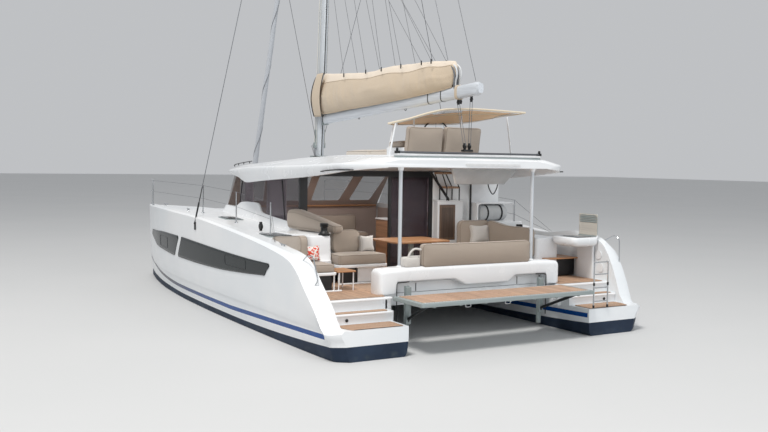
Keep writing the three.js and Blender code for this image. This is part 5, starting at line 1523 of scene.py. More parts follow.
def canopyPiece():
    # Straight lines from the aft edge to the forward edge, crowned between them and hollowed at the free
    # edges
    w = awning
    v = np.linspace(0, 1, 61)
    u = np.linspace(0, 1, 25)[:, None]
    aft, front = eased(w["aft"], v), eased(w["front"], v)
    y = aft[:, 0] * (1 - u) + front[:, 0] * u
    z = aft[:, 1] * (1 - u) + front[:, 1] * u + 0.045 * np.sin(np.pi * u) * np.sin(np.pi * v) ** 0.5
    z = z + 0.006 * np.sin(v * 23 + u * 5) * np.sin(np.pi * u)
    x = w["xs"][0] + (w["xs"][1] - w["xs"][0]) * u + 0.05 * np.sin(np.pi * v) * (1 - 2 * u)
    grid = np.stack([x + 0 * y, y, z], -1)
    # The underside is painted brighter and more orange than the top: painted light shining through the
    # canvas.
    piece = make("awningSheet", skin(grid), [paint["awning"], paint["awningUnder"], paint["awningWindow"]],
        stands="canopy")
    middle = np.stack(np.meshgrid((u[1:, 0] + u[:-1, 0]) / 2, (v[1:] + v[:-1]) / 2, indexing="ij"),
        -1).reshape(-1, 2)
    window = np.all((middle > w["window"][0]) & (middle < w["window"][1]), axis=1)
    if len(piece.data.polygons) == len(window):
        piece.data.polygons.foreach_set("material_index", np.where(window, 2, 0).astype(np.int32))
    shell = piece.modifiers.new("cloth", "SOLIDIFY")
    shell.thickness, shell.offset, shell.material_offset = 0.003, -1, 1
    piece.data.shade_smooth()
    hem = make("awningHem", merged(tube(rimOf(grid), w["hem"], 8, wrap=True),
        tube(grid[12, 1:-1] - [0, 0, 0.006], 0.008, 6)), paint["awning"])
    long, area = lengthOf(grid[12]), areaOf(grid)
    poles = [tube([top, foot], 0.017, 10) for top, foot in w["poles"]]
    feet = [lathe([(0, 0.032), (0.012, 0.028), (0.03, 0.018)], foot, "z", 16) for _, foot in w["poles"]]
    bows = [tube(grid[k, 2:-2] - [0, 0, 0.016], 0.011, 8) for k in (1, 23)]
    sides = [tube(grid[1:-1, k] - [0, 0, 0.016], 0.011, 8) for k in (3, 57)]
    put("awningPoles", [*poles, *feet, *bows, *sides], "gelcoat", stands="canopy_frame")


canopyPiece()
print("awning")

# Sail bag: x, lower edge, seam, top and half width; its front wraps the mast
bagTable = dict(rows=[(0.74, 4.10, 4.79, 5.02, 0.19), (0.3, 4.105, 4.80, 4.985, 0.20),
    (-0.45, 4.145, 4.80, 4.94, 0.205), (-1.3, 4.18, 4.76, 4.90, 0.20), (-2.2, 4.225, 4.80, 4.945, 0.19),
    (-2.9, 4.265, 4.765, 4.93, 0.18), (-3.6, 4.315, 4.81, 4.915, 0.165), (-4.1, 4.355, 4.78, 4.885, 0.14),
    (-4.38, 4.395, 4.79, 4.86, 0.115)], sag=0.03)


# Mast cover: share of a row that bends round the mast and the rest, its place, its forward and sideways reach
# with their swell, the length of the flaps, then its height, the dip of its upper front edge and the lift of
# its lower one
coverForm = dict(share=0.55, rest=0.45, x=0.93, rake=0.05, ahead=0.12, bulge=0.29, half=0.145, widen=0.085,
    flap=0.34, foot=4.04, height=0.97, dip=0.27, lip=0.05)


def bagRing(xs):
    # Half ring from the lower edge out over a sagging belly to the seam, then in over the folded top; then
    # mirrored
    low, seam, top, half = eased(bagTable["rows"], xs).T
    t = np.linspace(0, 1, 15)[None, :]
    belly = 0.32 + 0.68 * np.sin(np.pi * (t * 0.86 + 0.07)) ** 0.7
    y = half[:, None] * belly * (1 - 0.12 * t)
    z = low[:, None] + (seam - low)[:, None] * t
    slant = xs[:, None] * 5.3 + 2.4 * np.sin(xs * 1.9)[:, None] - t * 3.1
    y = y + (0.008 * np.sin(slant) + 0.004 * np.sin(slant * 3.7 + t * 6)) * np.sin(np.pi * t)
    y = y + 0.012 * np.exp(-((t - 0.55) / 0.05) ** 2) * np.sin(xs * 1.3 + 0.6)[:, None] ** 2
    z = z - bagTable["sag"] * np.sin(np.pi * np.clip((1 - t) * 1.1, 0, 1)) * np.sin(xs * 4.1)[:, None] ** 2
    s = np.linspace(0, 1, 9)[None, 1:]
    over = y[:, -1:] * (1 - s) ** 0.8
    rise = seam[:, None] + (top - seam)[:, None] * np.sin(np.pi / 2 * s) + 0.008 * np.sin(xs * 13)[:,
        None] * np.sin(np.pi * s)
    y, z = np.concatenate([y, over], 1), np.concatenate([z, rise], 1)
    y[:, -1] = 0
    y, z = np.concatenate([y, -y[:, -2::-1]], 1), np.concatenate([z, z[:, -2::-1]], 1)
    return np.stack([xs[:, None] + 0 * y, y, z], -1)


def sailBagPiece():
    xs = np.linspace(0.74, -4.38, 150)
    grid = bagRing(xs)
    end = grid[-1].copy()
    flap = np.array([end * (1 - k) + end.mean(0) * k + [-0.05 * math.sin(k * 1.6), 0, 0]
        for k in np.linspace(0, 1, 6)])
    piece = make("sailBagCloth", skin(np.concatenate([grid, flap[1:]])), [paint["bag"], paint["bagTop"]],
        "boom_body", "sail_bag", wall=0.004)
    # The folded top takes the lighter top finish, painted light falling on it; the sides keep the bag's
    # canvas.
    count = grid.shape[1] - 1
    index = np.tile(np.arange(count), len(piece.data.polygons) // count + 1)[:len(piece.data.polygons)]
    piece.data.polygons.foreach_set("material_index", ((index > 13) & (index < count - 14)).astype(np.int32))
    piece.data.shade_smooth()
    seams = merged(*(tube(grid[:, k] + [0, 0.003 * d, 0], 0.006, 6) for k, d in ((14, 1), (count - 14, -1))),
        *(tube(grid[:, k], 0.008, 6) for k in (0, count)))
    # Cover laced round the front of the mast: a half tube that swells over the gooseneck
    c = coverForm
    a = np.linspace(-1, 1, 45)[None, :]
    t = np.linspace(0, 1, 21)[:, None]
    swell = np.sin(np.pi * np.clip(t * 0.92 + 0.06, 0, 1)) ** 0.85
    # The bend takes the middle of each row, straight flaps the rest
    bend = np.clip(a / c["share"], -1, 1) * np.pi / 2
    straight = np.clip(np.abs(a) - c["share"], 0, 1) / c["rest"] * c["flap"]
    x = c["x"] - c["rake"] * t + (c["ahead"] + c["bulge"] * swell) * np.cos(bend) - straight
    y = (c["half"] + c["widen"] * swell) * np.sin(bend)
    z = c["foot"] + c["height"] * t - c["dip"] * np.cos(bend) * t ** 2 + c["lip"] * np.cos(bend) * (1 - t)
    shape = np.stack([x, y, z + 0 * x], -1)
    cover = make("mastCover", skin(shape), paint["bag"], None, wall=0.004)
    lace = [tube(shape[:, k], 0.017, 8) for k in (12, 32)] + [tube(shape[:, k], 0.008, 6) for k in (0, 44)]
    toggles = [roundBox((x0 - 0.012, y0 - 0.012, 4.84), (x0 + 0.012, y0 + 0.012, 4.93), 0.01, 2)
        for x0 in (-0.46, -1.42, -2.05, -2.8, -3.53, -3.86) for y0 in (-0.172, 0.172)]
    put("sailBagSeams", seams, "bag", "boom_body")
    put("sailBagToggles", toggles, "frame", "boom_body", slot="black")
    put("mastCoverLace", lace, "frame", None, slot="black")
    for one, cloth in ((piece, grid), (cover, shape)):
        area = areaOf(cloth)
    for one in (cover, bpy.data.objects["mastCoverLace"]):
        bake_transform(one)
    # Folds of the sail hang from the bag's aft end; the two set back are painted dark grey as painted shade
    # between the flakes.
    folds = [tube(bent([(-4.36, y, 4.80 - d), (-4.46 + d, y, 4.74 - d), (-4.5 + d, y, 4.6), (-4.44, y, 4.48),
        (-4.46, y, 4.36)], 0.06, 5), 0.017, 8) for y, d in ((-0.06, 0.0), (-0.02, 0.03), (0.03, 0.0),
        (0.06, 0.04))]
    put("sailLeech", folds[::2], "sailcloth", "boom_body")
    put("sailLeechShadedFolds", folds[1::2], "greyRope", "boom_body")


sailBagPiece()
print("sail bag")


# Rig: straight mast raked aft, boom, furled headsail; jacks are rows of foot x, foot z, head x, head z on one
# side
rig = dict(step=1.05, rake=0.05486, foot=3.14, top=17.8, stay=((5.3, 0, 1.642), (0.50, 0, 15.9)),
    spread=(8.6, 1.4, 8.65), jacks=[(-0.46, 4.9, 0.78, 8.6), (-1.42, 4.9, 0.66, 10.4),
    (-2.05, 4.9, 0.5, 13.4), (-2.8, 4.9, -2.3, 6.2), (-3.53, 4.9, -2.3, 6.2), (-3.86, 4.9, -2.77, 6.15),
    (-2.3, 6.2, 0.46, 13.6), (-2.77, 6.15, 0.7, 9.8)])


def mastX(z):
    return rig["step"] - (z - rig["foot"]) * rig["rake"]


def line(a, b, radius, sides=6):
    return tube(np.linspace(a, b, 3), radius, sides)


def section(centres, halfA, halfB, axes, sides=28, power=0.8):
    # Rings of a rounded oval: a power below 1 fills its corners; axes name the two coordinates it lies in
    a = np.linspace(0, 2 * np.pi, sides, endpoint=False)[None, :]
    halfA, halfB = (np.broadcast_to(half, len(centres))[:, None] for half in (halfA, halfB))
    rings = np.repeat(np.asarray(centres, float)[:, None, :], sides, 1)
    rings[..., axes[0]] += halfA * np.sign(np.cos(a)) * np.abs(np.cos(a)) ** power
    rings[..., axes[1]] += halfB * np.sign(np.sin(a)) * np.abs(np.sin(a)) ** power
    return skin(rings, wrapV=True, capU=True)


def block(centre, radius=0.035, wide=0.03):
    # Two cheeks round a sheave, with a strap that reaches above and below
    w = wide / 2
    x, y, z = centre
    wheel = lathe([(-w, radius * 0.85), (-w * 0.6, radius), (-w * 0.3, radius * 0.8), (w * 0.3, radius * 0.8),
        (w * 0.6, radius), (w, radius * 0.85)], centre, "y", 20)
    return merged(wheel, tile((x - 0.012, y - w - 0.002, z - radius * 1.3), (x + 0.012, y + w + 0.002,
        z + radius * 1.3), 0.01, 4, axis="y"))


def mastPiece():
    z = np.concatenate([np.linspace(rig["foot"], 15.5, 40), np.linspace(15.8, rig["top"], 8)])
    size = np.clip((rig["top"] - z) / 2.3, 0, 1)
    middle = np.column_stack([mastX(z), 0 * z, z])
    tubeShape = section(middle, 0.08 + 0.055 * size, 0.055 + 0.035 * size, (0, 1))
    track = tube(middle - np.column_stack([0.083 + 0.055 * size, 0 * z, 0 * z]), 0.011, 4)
    s, out, tip = rig["spread"]
    x = mastX(s)
    arm = section([(x, 0.04, s), (x - 0.02, 0.5, s + 0.02), (x - 0.06, out, tip)], [0.06, 0.05, 0.03],
        [0.02, 0.017, 0.012], (0, 2), 14)
    boots = turned([(out - 0.05, 0.0), (out - 0.05, 0.028), (out, 0.034), (out + 0.006, 0.0)],
        (x - 0.06, 0, tip), "y", 14)
    put("mastTube", [tubeShape, arm, mirrored(arm)], "spar", stands="mast")
    put("mastTrack", [track, boots, mirrored(boots)], "black")
    tangs = [box((mastX(z) - 0.05, 0.07, z - 0.1), (mastX(z) + 0.05, 0.105, z + 0.08)) for z in (15.45, 3.55)]
    hound = [rounded([(mastX(15.9) + 0.02, 15.75), (mastX(15.9) + 0.19, 15.82), (mastX(15.9) + 0.19, 15.96),
        (mastX(15.9) + 0.02, 16.05)], "y", -0.014, 0.014, 0.03)]
    collar = [box((0.86, -0.135, 3.139), (1.24, 0.135, 3.16)), box((0.60, -0.022, 3.86),
        (0.93, 0.022, 3.885)), box((0.60, -0.022, 3.915), (0.93, 0.022, 3.94))]
    clutches = [box((mastX(3.4) - 0.05, 0.088, 3.34), (mastX(3.4) + 0.05, 0.135, 3.46)),
        box((mastX(3.7) - 0.03, 0.088, 3.62), (mastX(3.7) + 0.03, 0.12, 3.76))]
    lamp = turned([(10.0, 0.0), (10.0, 0.04), (10.07, 0.05), (10.09, 0.0)], (mastX(10) + 0.15, 0, 0), "z", 14)
    put("mastFittings", [bothSides(*tangs, *clutches), *hound, *collar, lamp], "greyMetal", bevel=0.004,
        slot="steel")
    wires = [line((mastX(3.55), 0.1, 3.55), (x - 0.06, out, tip), 0.0055), line((x - 0.06, out, tip),
        (mastX(15.4), 0.09, 15.4), 0.0055)]
    put("diamonds", bothSides(*wires), "wire")
    halyards = [line((mastX(3.5) + dx, 0.098 + dy, 3.4), (mastX(16.6) + dx * 0.5, 0.07, 16.6), 0.005) for dx,
        dy in ((-0.05, 0.01), (0.02, 0.02), (0.07, 0.0))]
    masthead = [line((mastX(3.5) - 0.14, 0, 5.0), (mastX(17.6) - 0.09, 0, 17.6), 0.005)]
    put("halyards", [bothSides(*halyards), *masthead], "rope")


# Boom: where its middle line starts, its length and how much it climbs aft; x and z of the eyes under it
boom = dict(start=(0.78, 3.99), length=5.95, climb=0.34, eyes=((-0.85, 3.975), (-2.72, 4.08), (-4.5, 4.17),
    (-4.9, 4.2)), straps=(-3.61, -4.04), band=-4.52)


def boomZ(x):
    return boom["start"][1] + (boom["start"][0] - x) / boom["length"] * boom["climb"]


def boomPiece():
    xs = np.concatenate([[0.755, 0.74, 0.7], np.linspace(0.5, -5.0, 30), [-5.1, -5.15, -5.17]])
    end = np.clip(np.minimum(0.76 - xs, xs + 5.175) / 0.05, 0.55, 1) ** 0.5
    middle = np.column_stack([xs, 0 * xs, boomZ(xs)])
    put("boomTube", section(middle, 0.075 * end, 0.115 * end, (1, 2), 28, 0.7), "sparAlong", "boom_body",
        "boom")
    straps = [section([(x - 0.013, 0, boomZ(x)), (x + 0.013, 0, boomZ(x))], 0.079, 0.119, (1, 2), 28, 0.7)
        for x in boom["straps"]]
    eyes = [tube(bent([(x - 0.03, 0, z + 0.03), (x - 0.03, 0, z - 0.035), (x + 0.03, 0, z - 0.035),
        (x + 0.03, 0, z + 0.03)], 0.025, 4), 0.007, 6) for x, z in boom["eyes"]]
    put("boomStraps", [*straps, *eyes], "black", "boom_body", bevel=0.003)
    at, z = boom["band"], boomZ(boom["band"])
    cream = section([(at - 0.03, 0, z), (at + 0.03, 0, z)], 0.088, 0.13, (1, 2), 28, 0.6)
    put("outhaulBand", cream, "bag", "boom_body", bevel=0.003)
    blocks = [block((-4.5, 0.0, 4.12)), block((-4.9, 0.0, 4.15)), block((-4.62, 0.03, 4.12), 0.03)]
    put("boomBlocks", blocks, "black", "boom_body")
    joint = [lathe([(3.86, 0.03), (3.94, 0.03)], (0.808, 0, 0), "z", 16), box((0.70, -0.03, 3.888),
        (0.83, 0.03, 3.912))]
    put("gooseneck", joint, "greyMetal", "boom_body", bevel=0.003, slot="steel")
    jacks = []
    for x0, z0, x1, z1 in rig["jacks"]:
        spread = [0.17 if z < 5 else 0.165 if z < 7 else 0.09 for z in (z0, z1)]
        jacks.append(line((x0, spread[0], z0), (x1, spread[1], z1), 0.0045))
    lift = [line((-5.02, 0, 4.46), (mastX(17.5) - 0.12, 0, 17.5), 0.005),
        line((-4.15, 0, 4.9), (mastX(16) - 0.14, 0, 16.0), 0.0055)]
    put("lazyJacks", bothSides(*jacks), "greyRope", None)
    put("toppingLift", lift, "wire", None)
    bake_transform(bpy.data.objects["lazyJacks"])
    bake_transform(bpy.data.objects["toppingLift"])


# Furled headsail: where the roll starts and ends on the stay, its turns, its radius at the foot and what it
# loses
headsail = dict(low=0.02, high=0.93, turns=9, radius=0.075, taper=0.03, drum=[(0.008, 0.0), (0.008, 0.03),
    (0.0125, 0.05), (0.0135, 0.11), (0.0155, 0.11), (0.0165, 0.07), (0.025, 0.07), (0.026, 0.11),
    (0.028, 0.11), (0.03, 0.05), (0.034, 0.045), (0.034, 0.0)])


def headsailPiece():
    # A roll whose radius climbs through each turn, so a lip winds up the stay
    h = headsail
    foot, head = (np.array(p) for p in rig["stay"])
    t = np.linspace(h["low"], h["high"], 150)[:, None]
    along = (head - foot) / np.linalg.norm(head - foot)
    across = np.cross(along, (0, 1, 0))
    a = np.linspace(0, 2 * np.pi, 28, endpoint=False)[None, :]

    def around(share, radius, angle):
        # Points beside the stay: their share of its length, their distance from it and their direction
        return foot + (head - foot) * share + radius * (np.cos(angle) * (0, 1, 0) + np.sin(angle) * across)

    wind = ((a / (2 * np.pi) - t * h["turns"]) % 1.0)
    size = h["radius"] - h["taper"] * (t - h["low"]) / 0.91
    size = size * (0.86 + 0.14 * wind) * (1 + 0.03 * np.sin(t * 90 + a * 2))
    size = size * np.clip((0.94 - t) / 0.02, 0.5, 1) * np.clip((t - 0.012) / 0.02, 0.6, 1)
    roll = make("headsailRoll", skin(around(t[..., None], size[..., None], a[..., None]), wrapV=True,
        capU=True), paint["headsail"], "headsail_body", "furled_headsail")
    roll.data.shade_smooth()
    edge = around(t, size[:, :1] * 1.02, 2 * np.pi * t * h["turns"])
    put("headsailEdge", tube(edge, 0.006, 6), "greyRope", "headsail_body")
    drum = np.array(h["drum"])[..., None]
    put("furlerDrum", skin(around(drum[:, :1], drum[:, 1:], a[..., None]), wrapV=True, capU=True), "black",
        "headsail_body")
    length = float(np.linalg.norm(head - foot))
    stay = [line(foot + along * 0.01, foot + along * 0.42, 0.012), line(foot + along * length * 0.925, head,
        0.008)]
    put("forestayEnds", stay, "steel", "headsail_body")


def shroudPiece(side, turn):
    foot, head = np.array((0.05, 3.312, 1.70)), np.array((mastX(15.9), 0.14, 15.9))
    up = (head - foot) / np.linalg.norm(head - foot)
    screw = [tube([foot + up * 0.06, foot + up * 0.16, foot + up * 0.18, foot + up * 0.46, foot + up * 0.48,
        foot + up * 0.8], [0.012, 0.012, 0.018, 0.018, 0.01, 0.01], 10)]
    plate = [box((0.02, 3.285, 1.60), (0.08, 3.309, 1.76)), lathe([(3.28, 0.014), (3.322, 0.014)],
        (0.05, 0, 1.73), "y", 12)]
    put("shroudWire" + side, turn(line(foot, head, 0.007)), "wire", stands="shroud_" + side.lower())
    put("shroudScrew" + side, turn(merged(*screw, *plate)), "black", bevel=0.002, steps=1, slot="steel")


# Traveller: the beam's bands as inset, lower and upper edge; its two ends, the stops and the feet in y; the
# car's blocks in y
traveller = dict(x=-4.8, bands=((0, 3.075, 3.11), (0.008, 3.114, 3.15), (0, 3.154, 3.186)),
    ends=(-1.62, 1.47), stops=((-1.66, -1.605), (1.405, 1.47)), feet=(-1.5, -0.5, 0.45, 1.33),
    blocks=(0.055, -0.045))


def travellerPiece():
    # Box beam in three bands on the roof, its track, end caps, then the car with two blocks and the mainsheet
    t = traveller
    beams = [box((-4.86 + inset, t["ends"][0], low), (-4.74 - inset, t["ends"][1], high)) for inset, low,
        high in t["bands"]]
    rail = section([(-4.8, y, 3.21) for y in (-1.6, 1.42)], 0.035, 0.017, (0, 2), 16, 0.5)
    put("trackBeam", beams[::2], "white", bevel=0.004)
    put("trackBand", beams[1], "greyMetal", bevel=0.004)
    put("trackRail", rail, "wire", stands="traveller_track", slot="spar")
    ends = [*(box((-4.84, low, 3.185), (-4.76, high, 3.232)) for low, high in t["stops"]),
        *(block((t["x"], y, 3.25), 0.024) for y in (-1.636, 1.441))]
    put("trackEnds", ends, "black", bevel=0.006)
    feet = [tile((-4.87, y - 0.06, 2.95), (-4.73, y + 0.06, 3.08), 0.03) for y in t["feet"]]
    put("trackFeet", feet, "gelcoat", bevel=0.01)
    car = [roundBox((-4.85, -0.1, 3.236), (-4.75, 0.1, 3.275), 0.012, 3),
        *(block((t["x"], y, 3.33), 0.045, 0.035) for y in t["blocks"])]
    put("travellerCar", car, "black", "car_body", "traveller_car")
    sheet = [line((x0, y, 3.34), (x1, 0.0, z), 0.005) for x0, y, x1, z in ((-4.835, 0.055, -4.535, 4.12),
        (-4.765, 0.055, -4.47, 4.12), (-4.835, -0.045, -4.93, 4.15), (-4.77, -0.045, -4.865, 4.15))]
    put("mainsheet", sheet, "greyRope", "car_body")


mastPiece()
boomPiece()
headsailPiece()
for side, turn in sides:
    shroudPiece(side, turn)
travellerPiece()
print("rig")


def drape(shape, lift=0.0):
    # Heights given above the deck become heights above the water
    pts = np.array(shape[0])
    pts[:, 2] += deckAt(pts[:, 0], np.abs(pts[:, 1])) + lift
    return pts, shape[1]


def cleat(x, y, degrees=0.0):
    horn = section([(x + t, y, z) for t, z in ((-0.11, 0.055), (-0.06, 0.045), (0.06, 0.045), (0.11, 0.055))],
        [0.004, 0.011, 0.011, 0.004], [0.006, 0.01, 0.01, 0.006], (1, 2), 10)
    feet = [lathe([(0.0, 0.02), (0.008, 0.014), (0.045, 0.01)], (x + t, y, 0), "z", 12) for t in (-0.04,
        0.04)]
    pts, faces = merged(horn, *feet)
    return drape((tilted(pts, "z", degrees, (x, y)), faces))


# Side decks and bows: stanchion feet, then the guard wires' points as x, y, z
deck = dict(posts=[(1.12, 2.75), (-0.83, 2.75), (-2.65, 2.8)], high=0.6,
    wires=[[(4.72, 2.79, 2.49), (1.12, 2.75, 2.47), (-0.83, 2.75, 2.4), (-2.65, 2.8, 2.27),
    (-3.55, 3.1, 1.64)], [(4.72, 2.79, 2.22), (1.12, 2.75, 2.19), (-0.83, 2.75, 2.11), (-2.65, 2.8, 1.97),
    (-3.5, 3.09, 1.64)]], loops=[[(-4.70, 3.13, 1.42), (-4.82, 3.11, 1.52), (-5.03, 3.1, 1.53),
    (-5.21, 3.1, 1.16), (-5.17, 3.14, 1.08)], [(-4.95, -3.16, 1.57), (-5.16, -3.24, 1.70),
    (-5.27, -3.26, 1.64), (-5.29, -3.25, 1.2), (-5.27, -3.2, 1.12)]])


def sideDecks():
    d = deck
    posts = [tube([(x, y, z) for z in (-0.01, 0.3, d["high"])], 0.0125, 10) for x, y in d["posts"]]
    cups = [lathe([(0, 0.034), (0.012, 0.032), (0.02, 0.018), (0.07, 0.017)], (x, y, 0), "z", 14) for x,
        y in d["posts"]]
    tops = [turned([(d["high"], 0.0), (d["high"], 0.016), (d["high"] + 0.012, 0.01),
        (d["high"] + 0.016, 0.0)], (x, y, 0), "z", 10) for x, y in d["posts"]]
    put("stanchions", bothSides(drape(merged(*posts, *cups, *tops))), "steel")
    put("guardWires", bothSides(*(tube(w, 0.0032, 6) for w in d["wires"])), "wire")
    put("sternLoops", [tube(bent(path, 0.06, 5), 0.011, 10) for path in d["loops"]], "steel")
    put("cleats", bothSides(cleat(-3.84, 3.085, 8), cleat(1.9, 2.82), cleat(4.9, 2.4, 14)), "steel")
    put("snatchBlocks", bothSides(block((-2.2, 2.8, 1.81), 0.066, 0.045)), "black")
    hatch = tile((-0.3, 2.42, -0.01), (0.12, 2.74, 0.022), 0.05)
    rim = tile((-0.34, 2.38, -0.01), (0.16, 2.78, 0.013), 0.07)
    plain = tile((-2.95, 2.5, 1.66), (-2.3, 2.9, 1.692), 0.05)
    edge = tile((-2.99, 2.46, 1.66), (-2.26, 2.94, 1.681), 0.07)
    put("deckHatches", bothSides(drape(hatch), plain), "hullGlass", bevel=0.005)
    put("hatchRims", bothSides(drape(rim), edge), "greyMetal", bevel=0.004)
    for side, turn in sides:
        rails = [tube(bent([(4.7, 2.79, 1.87), (4.7, 2.79, 2.5), (5.2, 2.70, 2.51), (5.72, 2.51, 2.5),
            (5.72, 2.51, 1.86)], 0.1, 6), 0.0125, 10),
            tube([(4.7, 2.79, 2.22), (5.2, 2.70, 2.23), (5.72, 2.51, 2.22)], 0.0105, 8),
            *(lathe([(1.85, 0.034), (1.885, 0.03), (1.895, 0.018)], (x, y, 0), "z", 14) for x,
            y in ((4.7, 2.79), (5.72, 2.51)))]
        put("pulpit" + side, turn(merged(*rails)), "steel", stands="pulpit_" + side.lower())


# Nets: from x over a length, from the spar out to an edge that widens forward, their height and sag, their
# flat size
nets = dict(x=3.52, length=1.63, inner=0.13, edgeX=(3.5, 4.6, 5.17), edgeY=(1.88, 1.98, 2.03), z=1.585,
    sag=0.03, middle=(4.34, 1.05), flat=(1.66, 1.9))


def foredeck():
    # Crossbeam, bow spar and striker, then on each side the net with its lacing and the locker's lid
    n = nets
    ys = np.linspace(-2.16, 2.16, 21)
    beamTube = section(np.column_stack([5.25 + 0 * ys, ys, 1.56 + 0 * ys]), 0.08, 0.08, (0, 2), 28, 1.0)
    spar = tile((3.5, -0.11, 1.5), (5.4, 0.11, 1.64), 0.03, axis="x")
    striker = [line((5.25, y, 1.62), (5.25, 0.0, 1.815), 0.012) for y in (1.9, -1.9)]
    plates = [rounded([(5.18, 1.60), (5.36, 1.60), (5.34, 1.8), (5.22, 1.82)], "y", y - 0.006, y + 0.006,
        0.03) for y in (-0.03, 0.03)]
    roller = lathe([(-0.026, 0.05), (0.0, 0.03), (0.026, 0.05)], (5.36, 0, 1.5), "y", 20)
    put("crossbeamTube", [beamTube, spar], "spar", stands="crossbeam", bevel=0.006)
    put("strikerAndPlates", [*striker, *plates, roller], "steel")
    for side, turn in sides:
        u, v = np.meshgrid(np.linspace(0, 1, 41), np.linspace(0, 1, 41), indexing="ij")
        x = n["x"] + n["length"] * u
        out = np.interp(x, n["edgeX"], n["edgeY"])
        grid = np.stack([x, n["inner"] + (out - n["inner"]) * v, n["z"] - n["sag"] * np.sin(np.pi * u)
            * np.sin(np.pi * v)], -1)
        net = make("netting" + side, turn(skin(grid)), paint["net"], stands="net_" + side.lower(), wall=0.004)
        rim = rimOf(grid)
        zig = rim[::2].copy()
        zig[::2, :2] += (zig[::2, :2] - n["middle"]) * 0.025
        hem = make("netHem" + side, turn(merged(tube(rim, 0.012, 8, wrap=True),
            tube(zig, 0.004, 5, wrap=True))), paint["rope"])
        areaOf(grid)
        lid = tile((2.36, 0.46, 1.848), (2.89, 1.29, 1.868), 0.05)
        hinge = [lathe([(y, 0.009), (y + 0.08, 0.009)], (2.9, 0, 1.859), "y", 12) for y in (0.6, 1.06)]
        latch = lathe([(1.866, 0.022), (1.872, 0.022)], (2.43, 0.875, 0), "z", 16)
        body = "locker_lid_body_" + side.lower()
        put("lockerLid" + side, turn(lid), "grip", body, "locker_lid_" + side.lower(), bevel=0.005)
        put("lidHinges" + side, turn(merged(*hinge, latch)), "steel", body)


sideDecks()
foredeck()


def roofDetail():
    # Grab rail on the roof's side, blank plate on its aft edge, hatch and rope tails by the mast
    half = eased(roofTable, [-3.87, -4.1, -4.4, -4.7])[:, 0]
    path = np.column_stack([[-3.87, -4.1, -4.4, -4.72], half + [0.03, 0.035, 0.035, 0.03],
        [2.86, 2.88, 2.895, 2.90]])
    ends = [line(path[k], path[k] - [0, 0.06, 0], 0.009) for k in (0, 3)]
    put("roofRails", bothSides(tube(path, 0.011, 8), *ends), "black")
    xs = np.linspace(1.42, -0.2, 12)
    edge = np.column_stack([xs, eased(roofTable, xs)[:, [0, 3]] - [0.15, 0.015]])
    feet = [line(edge[k] - [0, 0, 0.04], edge[k], 0.01) for k in (1, 4, 7, 10)]
    put("browRails", bothSides(tube(edge, 0.009, 8), *feet), "black")
    plate = rounded([(-1.05, 2.985), (0.15, 2.99), (0.15, 3.035), (-1.05, 3.03)], "x", -4.99, -4.972, 0.012)
    put("roofPlate", plate, "white", bevel=0.003)
    hatches = [tile((-0.35, y - 0.25, 2.99), (0.15, y + 0.25, 3.045), 0.05) for y in (-0.75, 0.75)]
    put("roofHatches", hatches, "hullGlass", bevel=0.008)
    tails = [tube([(mastX(3.2) + 0.05 * k, 0.12, 3.45 - 0.02 * k), (0.86 - 0.06 * k, 0.16 + 0.03 * k, 3.03),
        (0.1, 0.5 + 0.04 * k, 3.06), (-0.9, 0.95 + 0.03 * k, 3.10)], 0.006, 6) for k in range(4)]
    put("deckLines", tails, "greyRope")
    jam = roundBox((-1.12, 0.92, 3.08), (-0.88, 1.1, 3.135), 0.015, 2)
    put("ropeClutch", jam, "black")


roofDetail()
print("deck hardware")


wheel = dict(x=-2.93, y=-0.58, z=3.53, radius=0.33, rim=0.0135, reach=0.325, spoke=0.007, spokes=5,
    first=0.31)


def helmWheel():
    x, y, z, radius, reach, first = (wheel[k] for k in ("x", "y", "z", "radius", "reach", "first"))
    a = np.linspace(0, 2 * np.pi, 56, endpoint=False)
    ring = tube(np.column_stack([x + 0 * a, y + radius * np.cos(a), z + radius * np.sin(a)]), wheel["rim"],
        10, wrap=True)
    spokes = [line((x + 0.015, y, z), (x, y + reach * math.cos(t), z + reach * math.sin(t)), wheel["spoke"])
        for t in np.linspace(first, first + 2 * np.pi, wheel["spokes"], endpoint=False)]
    hub = turned([(-2.955, 0), (-2.955, 0.035), (-2.94, 0.05), (-2.905, 0.045), (-2.9, 0)], (0, y, z), "x",
        20)
    put("wheelRim", ring, "black", "wheel_body", "steering_wheel")
    put("wheelSpokes", [*spokes, hub], "steel", "wheel_body")


# Below the hulls: their middle line, the shafts' height and the propeller's blades; levels of the two foils
# as z, nose, chord, half thickness
below = dict(y=2.56, shaft=-0.666, blades=3,
             rudder=[(-0.30, -5.0, 0.515, 0.033), (-0.7, -5.03, 0.48, 0.03), (-1.06, -5.09, 0.39, 0.022),
                     (-1.09, -5.12, 0.33, 0.01)],
             leg=[(-0.32, -4.16, 0.28, 0.05), (-0.6, -4.18, 0.24, 0.04), (-0.74, -4.22, 0.18, 0.03)])


